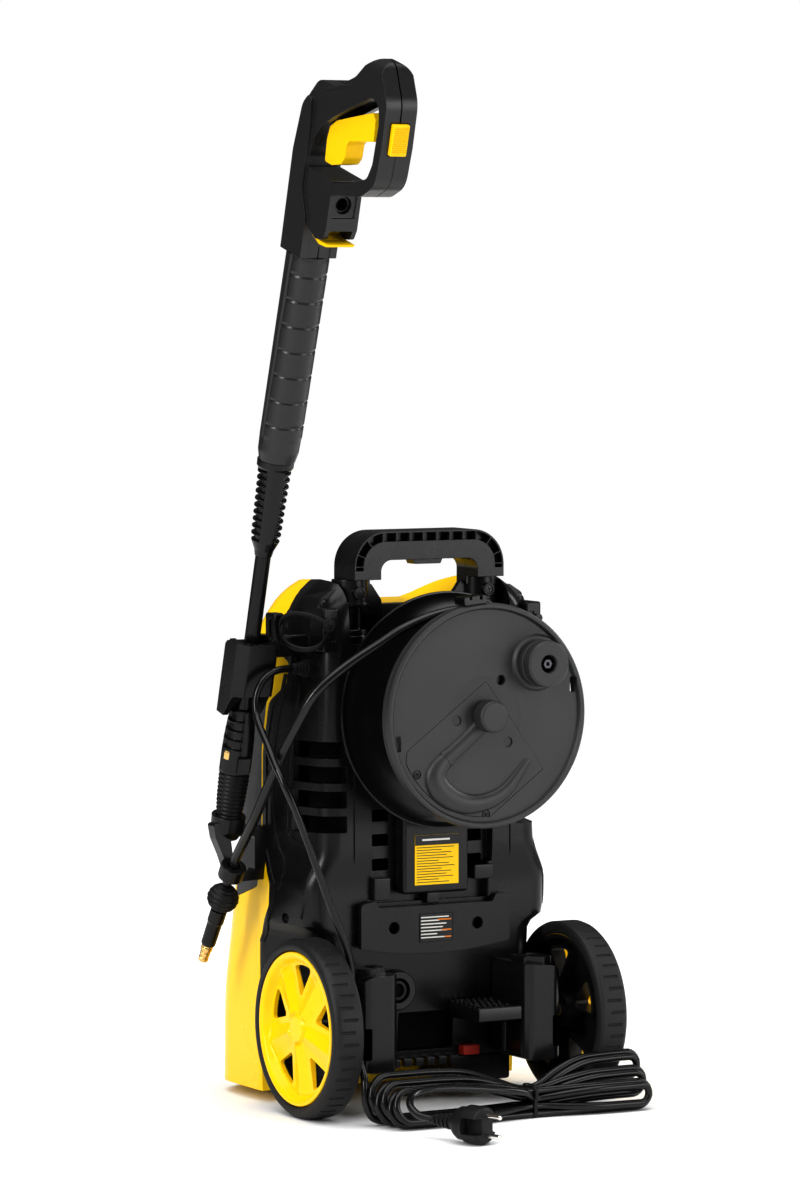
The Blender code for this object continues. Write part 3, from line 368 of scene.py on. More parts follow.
def skin(name, color, roughness, grain=0.0, grain_scale=900.0, vary=0.12, rough_vary=0.08,
         metallic=0.0, coat=0.0, edge=0.0007, specular=0.28, patch_scale=9.0):
    """A moulded or worn surface: patchy colour and gloss, fine grain, and softened edges."""
    material = bpy.data.materials.new(name)
    material.use_nodes = True
    nodes, links = material.node_tree.nodes, material.node_tree.links
    shader = set_inputs(nodes["Principled BSDF"], {
        "Metallic": metallic, "Coat Weight": coat, "Coat Roughness": 0.12, "Specular IOR Level": specular})
    where = nodes.new("ShaderNodeTexCoord")
    patches = set_inputs(nodes.new("ShaderNodeTexNoise"), {
        "Scale": patch_scale, "Detail": 5.0, "Roughness": 0.6})
    links.new(where.outputs["Object"], patches.inputs["Vector"])
    tint = nodes.new("ShaderNodeMix")
    tint.data_type = "RGBA"
    tint.inputs["A"].default_value = (*[c * (1 - vary) for c in color], 1)
    tint.inputs["B"].default_value = (*[min(1, c * (1 + vary)) for c in color], 1)
    links.new(patches.outputs["Fac"], tint.inputs["Factor"])
    links.new(tint.outputs["Result"], shader.inputs["Base Color"])
    gloss = set_inputs(nodes.new("ShaderNodeMapRange"), {
        "From Min": 0.3, "From Max": 0.7,
        "To Min": max(0.03, roughness - rough_vary), "To Max": min(1.0, roughness + rough_vary)})
    links.new(patches.outputs["Fac"], gloss.inputs["Value"])
    links.new(gloss.outputs["Result"], shader.inputs["Roughness"])
    softened = set_inputs(nodes.new("ShaderNodeBevel"), {"Radius": edge})
    softened.samples = 4
    speckle = set_inputs(nodes.new("ShaderNodeTexNoise"), {"Scale": grain_scale, "Detail": 2.0})
    links.new(where.outputs["Object"], speckle.inputs["Vector"])
    bump = set_inputs(nodes.new("ShaderNodeBump"), {"Strength": grain, "Distance": 0.0004})
    links.new(speckle.outputs["Fac"], bump.inputs["Height"])
    if edge:
        links.new(softened.outputs["Normal"], bump.inputs["Normal"])
    links.new(bump.outputs["Normal"], shader.inputs["Normal"])
    return material


YELLOW = skin("yellow_gloss", (0.95, 0.60, 0.003), 0.24, 0.04, 260, 0.05, 0.05, specular=0.22)
BLACK = skin("black_satin", (0.0045, 0.0045, 0.0047), 0.27, 0.14, 1400, 0.15, 0.05, specular=0.34)
GLOSS = skin("black_gloss", (0.0042, 0.0042, 0.0044), 0.22, 0.10, 1500, 0.12, 0.05, specular=0.38)
# the reel's black plastic with its colour lifted about fivefold over the other blacks: painted light for the
# lit reel face
REEL_FACE_LIT = skin("reel_face_painted_light", (0.0240, 0.0240, 0.0250), 0.42, 0.30, 1500, 0.10, 0.05, specular=0.5)
# dark plastic for the water inlet's core; also the wheels' backing skins, where it is painted shade over the
# yellow rims' inner side
DARK_PLASTIC_AND_SHADE = skin("dark_plastic", (0.0065, 0.0065, 0.0068), 0.40, 0.2, 1300, 0.15, 0.06)
# near-black matte for sheets placed in openings and hollows: painted shade
PAINTED_SHADE = skin("painted_shade_inside", (0.003, 0.003, 0.003), 0.8, 0.1, 900, 0.10, 0.05, specular=0.1)
GUN = skin("gun_plastic", (0.0160, 0.0160, 0.0168), 0.32, 0.20, 1300, 0.12, 0.05, specular=0.5)
GREY = skin("grey_panel", (0.0420, 0.0420, 0.0435), 0.40, 0.25, 1300, 0.12, 0.06)
TUBE = skin("painted_tube", (0.0050, 0.0050, 0.0052), 0.20, 0.05, 700, 0.10, 0.05)
TYRE = skin("tyre_rubber", (0.0170, 0.0170, 0.0178), 0.52, 0.4, 800, 0.20, 0.08)
RUBBER = skin("soft_rubber", (0.0060, 0.0060, 0.0063), 0.46, 0.25, 1000, 0.15, 0.08)
CORD = skin("cord_sheath", (0.0045, 0.0045, 0.0047), 0.24, 0.10, 700, 0.10, 0.05, edge=0.0, specular=0.4)
HOSE = skin("hose_sheath", (0.0045, 0.0045, 0.0050), 0.24, 0.12, 600, 0.10, 0.05, edge=0.0, specular=0.45)
STEEL_DARK = skin("dark_steel", (0.10, 0.10, 0.11), 0.35, 0.1, 1200, 0.06, 0.08, metallic=1.0)
STEEL = skin("bright_steel", (0.62, 0.62, 0.63), 0.22, 0.08, 1200, 0.06, 0.08, metallic=1.0)
BRASS = skin("polished_brass", (0.72, 0.50, 0.20), 0.20, 0.06, 900, 0.08, 0.07, metallic=1.0)
CHROME = skin("nickel", (0.78, 0.76, 0.72), 0.16, 0.05, 900, 0.05, 0.05, metallic=1.0)
WHITE = skin("print_white", (0.75, 0.74, 0.70), 0.45, 0.05, 900, 0.06, 0.05, edge=0.0)
ORANGE = skin("print_orange", (0.75, 0.22, 0.01), 0.45, 0.05, 900, 0.06, 0.05, edge=0.0)
RED = skin("red_plastic", (0.45, 0.03, 0.015), 0.40, 0.2, 900, 0.10, 0.06)


def repaint(node, material):
    """A CAD node that is kept gets a finished material on each of its slots."""
    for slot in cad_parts[node].material_slots:
        slot.material = material


# ---------------------------------------------------------------- camera, light and floor
def set_camera():
    camera = bpy.data.objects.new("camera", bpy.data.cameras.new("camera"))
    bpy.context.scene.collection.objects.link(camera)
    camera.data.sensor_width = 36.0
    camera.data.lens = 163.54
    camera.data.clip_end = 100.0
    camera.location = PLACE @ Vector((2.6894, 4.7932, 0.8546))
    camera.rotation_euler = (math.radians(86.470), 0.0, math.radians(151.139))
    bpy.context.scene.camera = camera


def area_light(name, place, aim, size, power, color=(1, 1, 1)):
    light = bpy.data.lights.new(name, "AREA")
    light.shape = "RECTANGLE"
    light.size, light.size_y = size
    light.energy = power
    light.color = color
    lamp = bpy.data.objects.new(name, light)
    bpy.context.scene.collection.objects.link(lamp)
    lamp.location = place
    direction = Vector(aim) - Vector(place)
    lamp.rotation_euler = direction.to_track_quat("-Z", "Y").to_euler()


def set_stage():
    world = bpy.data.worlds.new("studio")
    world.use_nodes = True
    tree = world.node_tree
    backdrop = tree.nodes["Background"]
    backdrop.inputs["Color"].default_value = (1.0, 1.0, 1.0, 1)
    room = tree.nodes.new("ShaderNodeBackground")
    room.inputs["Color"].default_value = (0.97, 0.98, 1.0, 1)
    room.inputs["Strength"].default_value = 0.13
    seen = tree.nodes.new("ShaderNodeLightPath")
    chosen = tree.nodes.new("ShaderNodeMixShader")
    tree.links.new(seen.outputs["Is Camera Ray"], chosen.inputs["Fac"])
    tree.links.new(room.outputs["Background"], chosen.inputs[1])
    tree.links.new(backdrop.outputs["Background"], chosen.inputs[2])
    tree.links.new(chosen.outputs["Shader"], tree.nodes["World Output"].inputs["Surface"])
    bpy.context.scene.world = world
    bpy.context.scene.view_settings.view_transform = "Standard"
    bpy.context.scene.view_settings.gamma = 0.80
    sun = bpy.data.lights.new("overhead", "SUN")
    sun.energy = 3.4
    sun.angle = math.radians(70)
    lamp = bpy.data.objects.new("overhead", sun)
    bpy.context.scene.collection.objects.link(lamp)
    lamp.rotation_euler = (math.radians(-8), math.radians(6), 0)
    area_light("key", (3.6, 1.4, 2.0), (0, 0, 0.5), (0.35, 2.4), 110)
    area_light("fill", (-2.6, 4.2, 1.15), (0, 0, 0.4), (2.2, 2.1), 80)
    area_light("edge", (-3.2, 0.6, 1.6), (0, 0, 0.4), (0.4, 2.2), 45)
    shape = bmesh.new()
    bmesh.ops.create_grid(shape, x_segments=8, y_segments=8, size=3.2)
    mesh = bpy.data.meshes.new("floor")
    shape.to_mesh(mesh)
    shape.free()
    floor = bpy.data.objects.new("floor", mesh)
    bpy.context.scene.collection.objects.link(floor)
    floor.data.materials.append(skin("pale_floor", (0.88, 0.88, 0.88), 0.9, 0.02, 40, 0.01, 0.03, edge=0.0,
                                     specular=0.0))


# ---------------------------------------------------------------- shared fine details
def skinned_tube(name, points, radii, resolution=4):
    """A tube whose radius changes along the route."""
    curve = bpy.data.curves.new(name, "CURVE")
    curve.dimensions = "3D"
    curve.bevel_depth = 1.0
    curve.bevel_resolution = resolution
    curve.use_fill_caps = True
    spline = curve.splines.new("POLY")
    spline.points.add(len(points) - 1)
    for slot, point, radius in zip(spline.points, points, radii):
        slot.co = (*point, 1)
        slot.radius = radius
    return baked(add_object(name, curve))


def relief(name, stations, count, outline):
    """A loft along Z whose ring at each height comes from outline(height, angle) -> (u, v)."""
    rings = []
    for w in stations:
        angles = [math.tau * i / count for i in range(count)]
        rings.append([(*outline(w, angle), w) for angle in angles])
    return loft(name, rings)


def spaced(low, high, step):
    count = max(1, round((high - low) / step))
    return [low + (high - low) * i / count for i in range(count + 1)]


def pulse(value, pitch, width, offset=0.0):
    """1 inside evenly pitched bands of a width, 0 between them, with short ramps."""
    phase = abs(((value - offset) / pitch + 0.5) % 1.0 - 0.5) * pitch
    return min(1.0, max(0.0, (width / 2 - phase) / (0.18 * width) + 0.5))


def screw_head(place, toward, radius):
    """A small cross-recess screw, its face at the place and looking along toward."""
    profile = rounded([(0, 0.0), (radius, 0.0), (radius, -0.003), (0, -0.003)], 0.0006)
    head = turned("screw", profile, steps=20)
    for turn in (0, 90):
        slot = box("slot", (-0.11 * radius, -0.6 * radius, -0.0012), (0.11 * radius, 0.6 * radius, 0.001))
        slot.matrix_basis = Matrix.Rotation(math.radians(turn + 20), 4, "Z")
        head = cut(head, baked(slot))
    return placed(head, aimed(place, Vector(place) + Vector(toward)))


def screws(name, body, places, toward, radius=0.0036):
    heads = [screw_head(place, toward, radius) for place in places]
    return dress(merged(name, heads), name, GLOSS, body)


# ---------------------------------------------------------------- hose reel
PIPE_BULGE = [((0.004, -0.008), 0.0082), ((0.024, -0.025), 0.0082), ((0.0457, -0.042), 0.0086),
              ((0.0535, -0.0495), 0.0102), ((0.0580, -0.0600), 0.0116), ((0.0525, -0.0715), 0.0126),
              ((0.0400, -0.0810), 0.0120), ((0.0240, -0.0868), 0.0106), ((0.0080, -0.0873), 0.0093),
              ((-0.0100, -0.0830), 0.0084), ((-0.0250, -0.0735), 0.0073), ((-0.0370, -0.0600), 0.0057),
              ((-0.0462, -0.0490), 0.0040)]
WEDGE = [(0.0, 0.0345), (0.0905, -0.0325)] + arc(0, 0, 0.1015, -26, -93, 14) + [(-0.0665, -0.0560)]


def on_face(points):
    return [(x, z + REEL_Z) for x, z in points]


PIPE_COVER_SCREWS = ((0.0786, -0.0557), (0.0, -0.0990))


def build_reel():
    face, rim, back = REEL_FACE_Y, 0.113, 0.095
    center = (0, 0, REEL_Z)
    pan = [(0, face), (0.038, face), (0.0385, face + 0.0003), (0.0425, face + 0.0003), (0.043, face),
           (rim - 0.0070, face), (rim - 0.0062, back - 0.0012), (rim - 0.0050, back),
           (rim - 0.0022, back), (rim - 0.0004, back - 0.0012), (rim, back - 0.0030),
           (rim, back - 0.0078), (rim - 0.0012, back - 0.0084), (rim - 0.0012, back - 0.0094),
           (rim, back - 0.0100), (rim - 0.0006, back - 0.0140), (rim - 0.0030, back - 0.0160),
           (rim - 0.0100, back - 0.0102), (0, back - 0.0102)]
    outer = turned("outer", pan, "Y", center, 128)
    for x, z in ((-0.1000, 0.0278), (0.0995, -0.0245)):
        outer = cut(outer, beveled(box("slot", (x - 0.0028, 0.07, REEL_Z + z - 0.0078),
                                       (x + 0.0028, 0.2, REEL_Z + z + 0.0078)), 0.0012))
    outer = cut(outer, cylinder("hole", 0.0052, 0.05, 0.2, "Y", (-0.0172, 0, REEL_Z + 0.035)))
    recess = prism("recess", "XZ", filleted(on_face(WEDGE), [0.002, 0.008] + [0.0] * 15 + [0.002]),
                   face - 0.0016, 0.2)
    outer = cut(outer, recess)
    boss = rounded([(0, 0.004), (0.0262, 0.004), (0.0290, 0.0), (0.0290, -0.006), (0, -0.006)], 0.0012)
    outer = unite(outer, turned("boss", boss, "Y", (CRANK_X, face, CRANK_Z), 64))
    dress(outer, "reel_outer_flange_fine", REEL_FACE_LIT, "reel", ["reel_outer_flange"])

    inset = [(x * 0.994, z * 0.994 - 0.0001) for x, z in WEDGE]
    plate = prism("plate", "XZ", filleted(on_face(inset), [0.002, 0.008] + [0.0] * 15 + [0.002]),
                  face - 0.0013, face + 0.0001)
    plate = cut(plate, *[cylinder("hole", 0.0052, 0.05, 0.2, "Y", (x, 0, REEL_Z + z))
                         for x, z in ((0.0332, -0.0039), (-0.0253, -0.0273))])
    plate = cut(plate, *[cylinder("seat", 0.0046, 0.05, 0.2, "Y", (x, 0, REEL_Z + z))
                         for x, z in PIPE_COVER_SCREWS])
    path = smooth_route([(x, 0, z) for (x, z), _ in PIPE_BULGE], 0.0025)
    knots = [0.0]
    for (p, _), (q, _) in zip(PIPE_BULGE, PIPE_BULGE[1:]):
        knots.append(knots[-1] + math.dist(p, q))
    along = np.linspace(0, knots[-1], len(path))
    radii = np.interp(along, knots, [radius for _, radius in PIPE_BULGE])
    flatten = Matrix.Translation((0, face, REEL_Z)) @ Matrix.Diagonal((1, 0.62, 1, 1))
    bulge = placed(skinned_tube("bulge", path, radii, 6), flatten)
    ring = placed(tube("ring", [(0.0425, 0, -0.0392), (0.0462, 0, -0.0424)], 0.0094, 6), flatten)
    tip = sphere("tip", (-0.0462, 0, -0.0490), 0.0040)
    bulge = unite(bulge, ring, placed(tip, flatten))
    plate = unite(plate, keep_inside(bulge, box("above", (-0.2, face - 0.0010, 0.2), (0.2, 0.2, 0.6))))
    dress(plate, "reel_pipe_cover_fine", REEL_FACE_LIT, "reel", ["reel_pipe_cover"])
    seats = [(x, face - 0.0002, REEL_Z + z) for x, z in PIPE_COVER_SCREWS]
    screws("reel_screws", "reel", seats, (0, 1, 0), 0.0040)

    cap = rounded([(0, 0.0165), (0.0140, 0.0165), (0.0160, 0.0150), (0.0163, 0.0), (0, 0.0)], 0.0014)
    dress(turned("cap", cap, "Y", (0, face + 0.0024, REEL_Z), 64), "reel_hub_cap_fine", REEL_FACE_LIT, "reel",
          ["reel_hub_cap"])

    clip = filleted(on_face([(0.001, 0.1130), (0.0265, 0.1105), (0.0275, 0.1185), (0.003, 0.1208)]), 0.0016)
    clip = beveled(prism("clip", "XZ", clip, back - 0.020, back + 0.0005), 0.0008)
    clip = cut(clip, box("gap", (0.0065, back - 0.006, REEL_Z + 0.1165), (0.0095, 0.2, 0.6)),
               box("gap", (0.0185, back - 0.006, REEL_Z + 0.1160), (0.0210, 0.2, 0.6)))
    dress(clip, "hose_clip_fine", GLOSS, "reel", ["hose_clip"])

    knob = [(0.0088, 0.0160), (0.0090, 0.0208), (0.0096, 0.0215), (0.0212, 0.0215), (0.0232, 0.0200),
            (0.0235, 0.0178), (0.0235, 0.0092), (0.0226, 0.0086), (0.0226, 0.0076), (0.0235, 0.0070),
            (0.0235, 0.0010), (0, 0.0010), (0, 0.0160)]
    dress(turned("knob", knob, "Y", (CRANK_X, 0.0946, CRANK_Z), 64), "crank_knob_fine", REEL_FACE_LIT, "crank",
          ["crank_knob"])
    bolt = cylinder("bolt", 0.0050, 0.0160, 0.0185, "Y", (CRANK_X, 0.0946, CRANK_Z), 6)
    bolt = cut(bolt, box("socket", (CRANK_X - 0.0017, 0.110, CRANK_Z - 0.0017),
                         (CRANK_X + 0.0017, 0.2, CRANK_Z + 0.0017)))
    dress(bolt, "crank_bolt", STEEL_DARK, "crank")

    r = 0.120
    dish = [(0.0125, 0.0225), (0.040, 0.0225), (0.052, 0.0215), (0.066, 0.0185), (0.080, 0.0145),
            (0.093, 0.0108), (0.104, 0.0086), (0.113, 0.0088), (0.1165, 0.0100), (0.1185, 0.0112),
            (r, 0.0110), (r + 0.0002, 0.0085), (r - 0.002, 0.0050), (0.110, 0.0030), (0.098, 0.0030),
            (0.080, 0.0080), (0.058, 0.0140), (0.0125, 0.0160)]
    dress(turned("inner", dish, "Y", center, 128), "reel_inner_flange_fine", GLOSS, "reel",
          ["reel_inner_flange"])
    repaint("reel_drum", BLACK)
    repaint("reel_spindle", BLACK)

    coil = []
    per_turn, pitch = 44, 0.0102
    for layer, radius in enumerate((0.0518, 0.0612, 0.0706, 0.0768)):
        for step in range(per_turn * 5):
            across = pitch * step / per_turn
            y = 0.0318 + (across if layer % 2 == 0 else pitch * 5 - across) * 0.84
            angle = math.tau * step / per_turn
            coil.append((radius * math.cos(angle), y, REEL_Z + radius * math.sin(angle)))
    dress(tube("coil", coil, 0.0051, 3), "wound_hose_fine", HOSE, "reel", ["wound_hose"], 60)


def sphere(name, place, radius):
    shape = bmesh.new()
    bmesh.ops.create_uvsphere(shape, u_segments=24, v_segments=14, radius=radius)
    bmesh.ops.translate(shape, verts=shape.verts, vec=place)
    return from_shape(name, shape)


# ---------------------------------------------------------------- wheels
def wheel_face(radius, angle):
    """Height of the rim's outer face: a dished star of five ridged spokes round a hub."""
    outer = WHEEL_OUTER_X
    base = float(np.interp(radius,
                           (0.0, 0.0125, 0.0150, 0.030, 0.058, 0.0675, 0.0705, 0.0735, 0.0768, 0.0775),
                           (-0.0015, -0.0020, -0.0050, -0.0078, -0.0105, -0.0100, -0.0030, -0.0008,
                            -0.0008, -0.0020)))
    spoke = (math.degrees(angle) - 54.0 + 36.0) % 72.0 - 36.0
    side = radius * math.radians(abs(spoke))
    ridge = max(0.0, 1.0 - side / (0.007 + 0.16 * radius)) if 0.0150 < radius < 0.0705 else 0.0
    return outer + base + 0.0042 * ridge * min(1.0, (0.0712 - radius) / 0.006)


def rim_mesh(name):
    """The rim as a fine polar relief with a hollow back, before its windows are cut."""
    radii = [0.004, 0.008, 0.0115, 0.0125, 0.0140, 0.0150, 0.018, 0.022, 0.026, 0.030, 0.035, 0.040, 0.045,
             0.050, 0.055, 0.058, 0.061, 0.064, 0.0665, 0.0685, 0.0700, 0.0712, 0.0725, 0.0740, 0.0755,
             0.0768, 0.0775]
    back = [(0.0775, 0.140), (0.0735, 0.140), (0.0695, 0.1545), (0.060, 0.1535), (0.030, 0.1545),
            (0.0200, 0.1545), (0.0170, 0.139), (0.0065, 0.138)]
    turns = [math.tau * i / 160 for i in range(160)]
    rings = [[(wheel_face(radius, a), radius * math.cos(a), radius * math.sin(a)) for a in turns]
             for radius in radii]
    rings += [[(x, radius * math.cos(a), radius * math.sin(a)) for a in turns] for radius, x in back]
    return loft(name, rings)


def polar(radius, middle_angle, spread):
    """Points on a circle at some degrees to each side of a middle angle."""
    angles = [math.radians(middle_angle + turn) for turn in spread]
    return [(radius * math.cos(angle), radius * math.sin(angle)) for angle in angles]


def build_wheels():
    for side, sign in (("left", 1), ("right", -1)):
        body = side + "_wheel"
        rim = rim_mesh("rim")
        # the backing is a dark skin 0.3 mm over the rim's yellow inner side and its window walls: painted
        # shade on the wheel's shaded side
        near = [(0.0772, 0.1397), (0.0732, 0.1397), (0.0692, 0.1541), (0.060, 0.1531), (0.030, 0.1541),
                (0.0203, 0.1541), (0.0173, 0.1387), (0.0068, 0.1377)]
        under = [(radius, x - 0.0005) for radius, x in reversed(near)]
        shade_backing = turned("shade_backing", near + under, "X", steps=120)
        walls = []
        for index in range(5):
            middle_angle = 90 + 72 * index
            window = polar(0.0640, middle_angle, (-16, -8, 0, 8, 16)) + polar(0.034, middle_angle, (3, -3))
            window = filleted(window, [0.004, 0, 0, 0, 0.004, 0.001, 0.001])
            rim = cut(rim, prism("window", "YZ", window, 0.10, 0.20))
            shade_backing = cut(shade_backing, prism("window", "YZ", window, 0.10, 0.20))
            wall = polar(0.0660, middle_angle, (-18, -9, 0, 9, 18)) + polar(0.030, middle_angle, (7, -7))
            wall = filleted(wall, [0.004, 0, 0, 0, 0.004, 0.002, 0.002])
            walls.append(prism("wall", "YZ", [wall, window], 0.1395, 0.1545))
        shade_backing = merged("shade_backing", [shade_backing] + walls)
        for piece in (rim, shade_backing):
            if sign < 0:
                mirror(piece)
            piece.data.transform(Matrix.Translation((0, 0, WHEEL_RADIUS)))
        dress(shade_backing, "wheel_" + side + "_shade_back", DARK_PLASTIC_AND_SHADE, body)
        dress(rim, "wheel_" + side + "_rim_fine", YELLOW, body,
              ["wheel_" + side + "_rim"], 28)

        inner, outer, edge = WHEEL_INNER_X, WHEEL_OUTER_X, 0.0778
        tread = [(edge, outer - 0.0028), (0.0795, outer - 0.0006), (0.0835, outer), (0.0865, outer - 0.0012),
                 (0.0890, outer - 0.0038), (WHEEL_RADIUS, outer - 0.0075), (WHEEL_RADIUS, inner + 0.0040),
                 (0.0895, inner + 0.0016), (0.0870, inner + 0.0002), (0.0835, inner),
                 (0.0800, inner + 0.0004), (edge, inner + 0.0030)]
        tyre = turned("tyre", tread, "X", steps=120)
        grooves = []
        for index in range(46):
            shift = 0.0030 if index % 2 else -0.0010
            groove = box("groove", (inner + 0.0080 + shift, -0.0016, WHEEL_RADIUS - 0.0016),
                         (outer - 0.0075 + shift, 0.0016, WHEEL_RADIUS + 0.004), 0.0014, 3)
            groove.matrix_basis = Matrix.Rotation(math.tau * index / 46, 4, "X")
            grooves.append(baked(groove))
        tyre = cut(tyre, merged("grooves", grooves))
        if sign < 0:
            mirror(tyre)
        tyre.data.transform(Matrix.Translation((0, 0, WHEEL_RADIUS)))
        dress(tyre, "wheel_" + side + "_tyre_fine", TYRE, body, ["wheel_" + side + "_tyre"], 40)
        repaint("axle_" + side, STEEL)


# ---------------------------------------------------------------- body shells
# height, rear corner (x, y), side point (x, y), front corner (x, y), front middle y
BODY_SECTIONS = [
    (0.012, (0.112, -0.034), (0.148, -0.112), (0.146, -0.232), -0.244),
    (0.100, (0.114, -0.027), (0.150, -0.110), (0.147, -0.226), -0.241),
    (0.176, (0.116, -0.022), (0.150, -0.104), (0.145, -0.212), -0.229),
    (0.190, (0.136, -0.022), (0.151, -0.092), (0.145, -0.209), -0.226),
    (0.225, (0.137, -0.022), (0.150, -0.090), (0.144, -0.203), -0.220),
    (0.262, (0.122, -0.018), (0.145, -0.098), (0.143, -0.199), -0.215),
    (0.300, (0.1205, -0.018), (0.144, -0.100), (0.142, -0.196), -0.212),
    (0.420, (0.119, -0.018), (0.141, -0.100), (0.138, -0.186), -0.202),
    (0.480, (0.117, -0.020), (0.135, -0.092), (0.130, -0.178), -0.193),
    (0.510, (0.111, -0.024), (0.122, -0.082), (0.116, -0.166), -0.181),
    (0.528, (0.101, -0.034), (0.108, -0.078), (0.100, -0.150), -0.164),
    (0.539, (0.088, -0.048), (0.091, -0.078), (0.084, -0.130), -0.142),
]
HEIGHTS = np.array([section[0] for section in BODY_SECTIONS])
STATIONS = np.array([(*rear, *side, *front, nose) for _, rear, side, front, nose in BODY_SECTIONS])
DECK_Z = 0.508
UNDERSIDE_Z = 0.046
NOTCH_Y, NOTCH_Z = -0.0765, 0.472
RECESS_HALF_WIDTH, RECESS_Y, RECESS_LOW_Z = 0.070, -0.030, 0.209
COLUMN_Y, CHASSIS_Y = -0.018, -0.022
CAVITY = (0.004, 0.022, 0.05, 0.464, 0.03)      # wall, rear wall, lowest, highest, spacing
INLET = (0.040, CHASSIS_Y, 0.1190)
SEAM = [(-0.110, -0.05), (-0.110, 0.165), (-0.088, 0.205), (-0.088, 0.228), (-0.112, 0.262),
        (-0.115, 0.360), (-0.104, 0.410), (-0.078, 0.430), (-0.076, 0.452), (-0.092, 0.462),
        (-0.091, 0.484), (-0.095, 0.505), (-0.108, 0.60)]
SEAM_RADII = [0, 0.02, 0.012, 0.012, 0.014, 0.03, 0.016, 0.008, 0.005, 0.005, 0.01, 0.01, 0]


def section_at(z):
    """Monotone cubic through the body's sections, so that nothing bulges between them."""
    step = np.diff(HEIGHTS)
    slope = np.diff(STATIONS, axis=0) / step[:, None]
    product = slope[:-1] * slope[1:]
    total = np.where(product > 0, slope[:-1] + slope[1:], 1.0)
    tangent = np.vstack([slope[:1], np.where(product > 0, 2 * product / total, 0.0), slope[-1:]])
    k = int(np.clip(np.searchsorted(HEIGHTS, z) - 1, 0, len(HEIGHTS) - 2))
    t = (z - HEIGHTS[k]) / step[k]
    value = ((2 * t ** 3 - 3 * t ** 2 + 1) * STATIONS[k] + (t ** 3 - 2 * t ** 2 + t) * step[k] * tangent[k]
             + (3 * t ** 2 - 2 * t ** 3) * STATIONS[k + 1] + (t ** 3 - t ** 2) * step[k] * tangent[k + 1])
    return value


def body_volume(name, inset=0.0, rear_inset=0.0, low=0.012, high=0.539, spacing=0.007):
    """The body's outer form between two heights, shrunk by an inset."""
    rings = []
    for z in spaced(low, high, spacing):
        rear_x, rear_y, side_x, side_y, front_x, front_y, nose = section_at(z)
        half = [(rear_x - inset, rear_y - rear_inset), (side_x - inset, side_y),
                (front_x - inset, front_y + inset), (0.040, nose + inset)]
        corners = half + [(-x, y) for x, y in reversed(half)]
        radii = [0.022, 0.030, 0.055, 0.060]
        rings.append([(x, y, z) for x, y in filleted(corners, radii + radii[::-1], 7)])
    return loft(name, rings)


def seam_prism(name, shift, side):
    """Everything in front of the seam (side -1) or behind it (side +1)."""
    line = [(y + shift, z) for y, z in SEAM]
    far = 0.4 * side
    outline = filleted(line + [(far, line[-1][1]), (far, line[0][1])], SEAM_RADII + [0, 0], 4)
    return prism(name, "YZ", outline, -0.3, 0.3)


def seam_band(name, near, far):
    """A strip that follows the seam at a distance behind it."""
    line = [(y + near, z) for y, z in SEAM[1:-1]]
    back = [(y + far, z) for y, z in reversed(SEAM[1:-1])]
    radii = SEAM_RADII[1:-1]
    return prism(name, "YZ", filleted(line + back, radii + radii[::-1], 4), -0.3, 0.3)


def ribbon(points, width):
    """A flat strip of even width along a line of (y, z) points."""
    line = smooth_route(points, 0.004)
    left, right = [], []
    for before, here, after in zip([line[0]] + line, line, line[1:] + [line[-1]]):
        along = (after - before).normalized()
        across = Vector((-along.y, along.x)) * width / 2
        left.append(tuple(here + across))
        right.append(tuple(here - across))
    return left + right[::-1]


SIDE_RIDGE = [(-0.060, 0.474), (-0.066, 0.452), (-0.062, 0.425), (-0.068, 0.390), (-0.072, 0.354),
              (-0.0745, 0.300), (-0.0735, 0.282), (-0.068, 0.274), (-0.055, 0.269), (-0.040, 0.264),
              (-0.0335, 0.256), (-0.0335, 0.240), (-0.0350, 0.216), (-0.040, 0.196)]
INNER_RIDGE = [(-0.080, 0.440), (-0.086, 0.415), (-0.0925, 0.385), (-0.0955, 0.360), (-0.0955, 0.300),
               (-0.088, 0.268), (-0.076, 0.252), (-0.072, 0.240), (-0.074, 0.222)]


def trough(name):
    profile = [(-0.100, 0.560), (-0.098, 0.534), (-0.060, DECK_Z + 0.004), (-0.050, DECK_Z),
               (0.050, DECK_Z), (0.060, DECK_Z + 0.004), (0.098, 0.534), (0.100, 0.560)]
    return prism(name, "XZ", filleted(profile, [0, 0.012, 0.02, 0.01, 0.01, 0.02, 0.012, 0], 4), -0.30, 0.10)


def layer(volume, depth):
    """Only the part of a volume that lies above an offset of the body's outer form."""
    return cut(volume, body_volume("offset", depth))


def insert_volume(name, sign, grow=0.0):
    """Dark side insert, seen from the side, with a stepped lower edge."""
    g = grow
    corners = [(-0.118 + g, 0.262 - g), (-0.121 + g, 0.362), (-0.112 + g, 0.412), (-0.120, 0.452 + g),
               (-0.150, 0.452 + g), (-0.168 - g, 0.415), (-0.172 - g, 0.205 - g), (-0.118 + g, 0.222 - g)]
    low, high = (0.10, 0.20) if sign > 0 else (-0.20, -0.10)
    return prism(name, "YZ", filleted(corners, 0.006, 4), low, high)


def panel_volume(name, grow=0.0):
    outline = filleted([(-0.062 - grow, 0.16 - grow), (0.062 + grow, 0.16 - grow),
                        (0.080 + grow, 0.44 + grow), (-0.080 - grow, 0.44 + grow)], 0.014, 6)
    return prism(name, "XZ", outline, -0.35, -0.15)


def slot_outline(sign, shrink=0.0):
    slot = [(0.0985 + shrink, 0.01), (0.0985 + shrink, -0.050), (0.112, -0.068), (0.170, -0.068),
            (0.170, 0.01)]
    return [(sign * x, y) for x, y in slot][::sign]


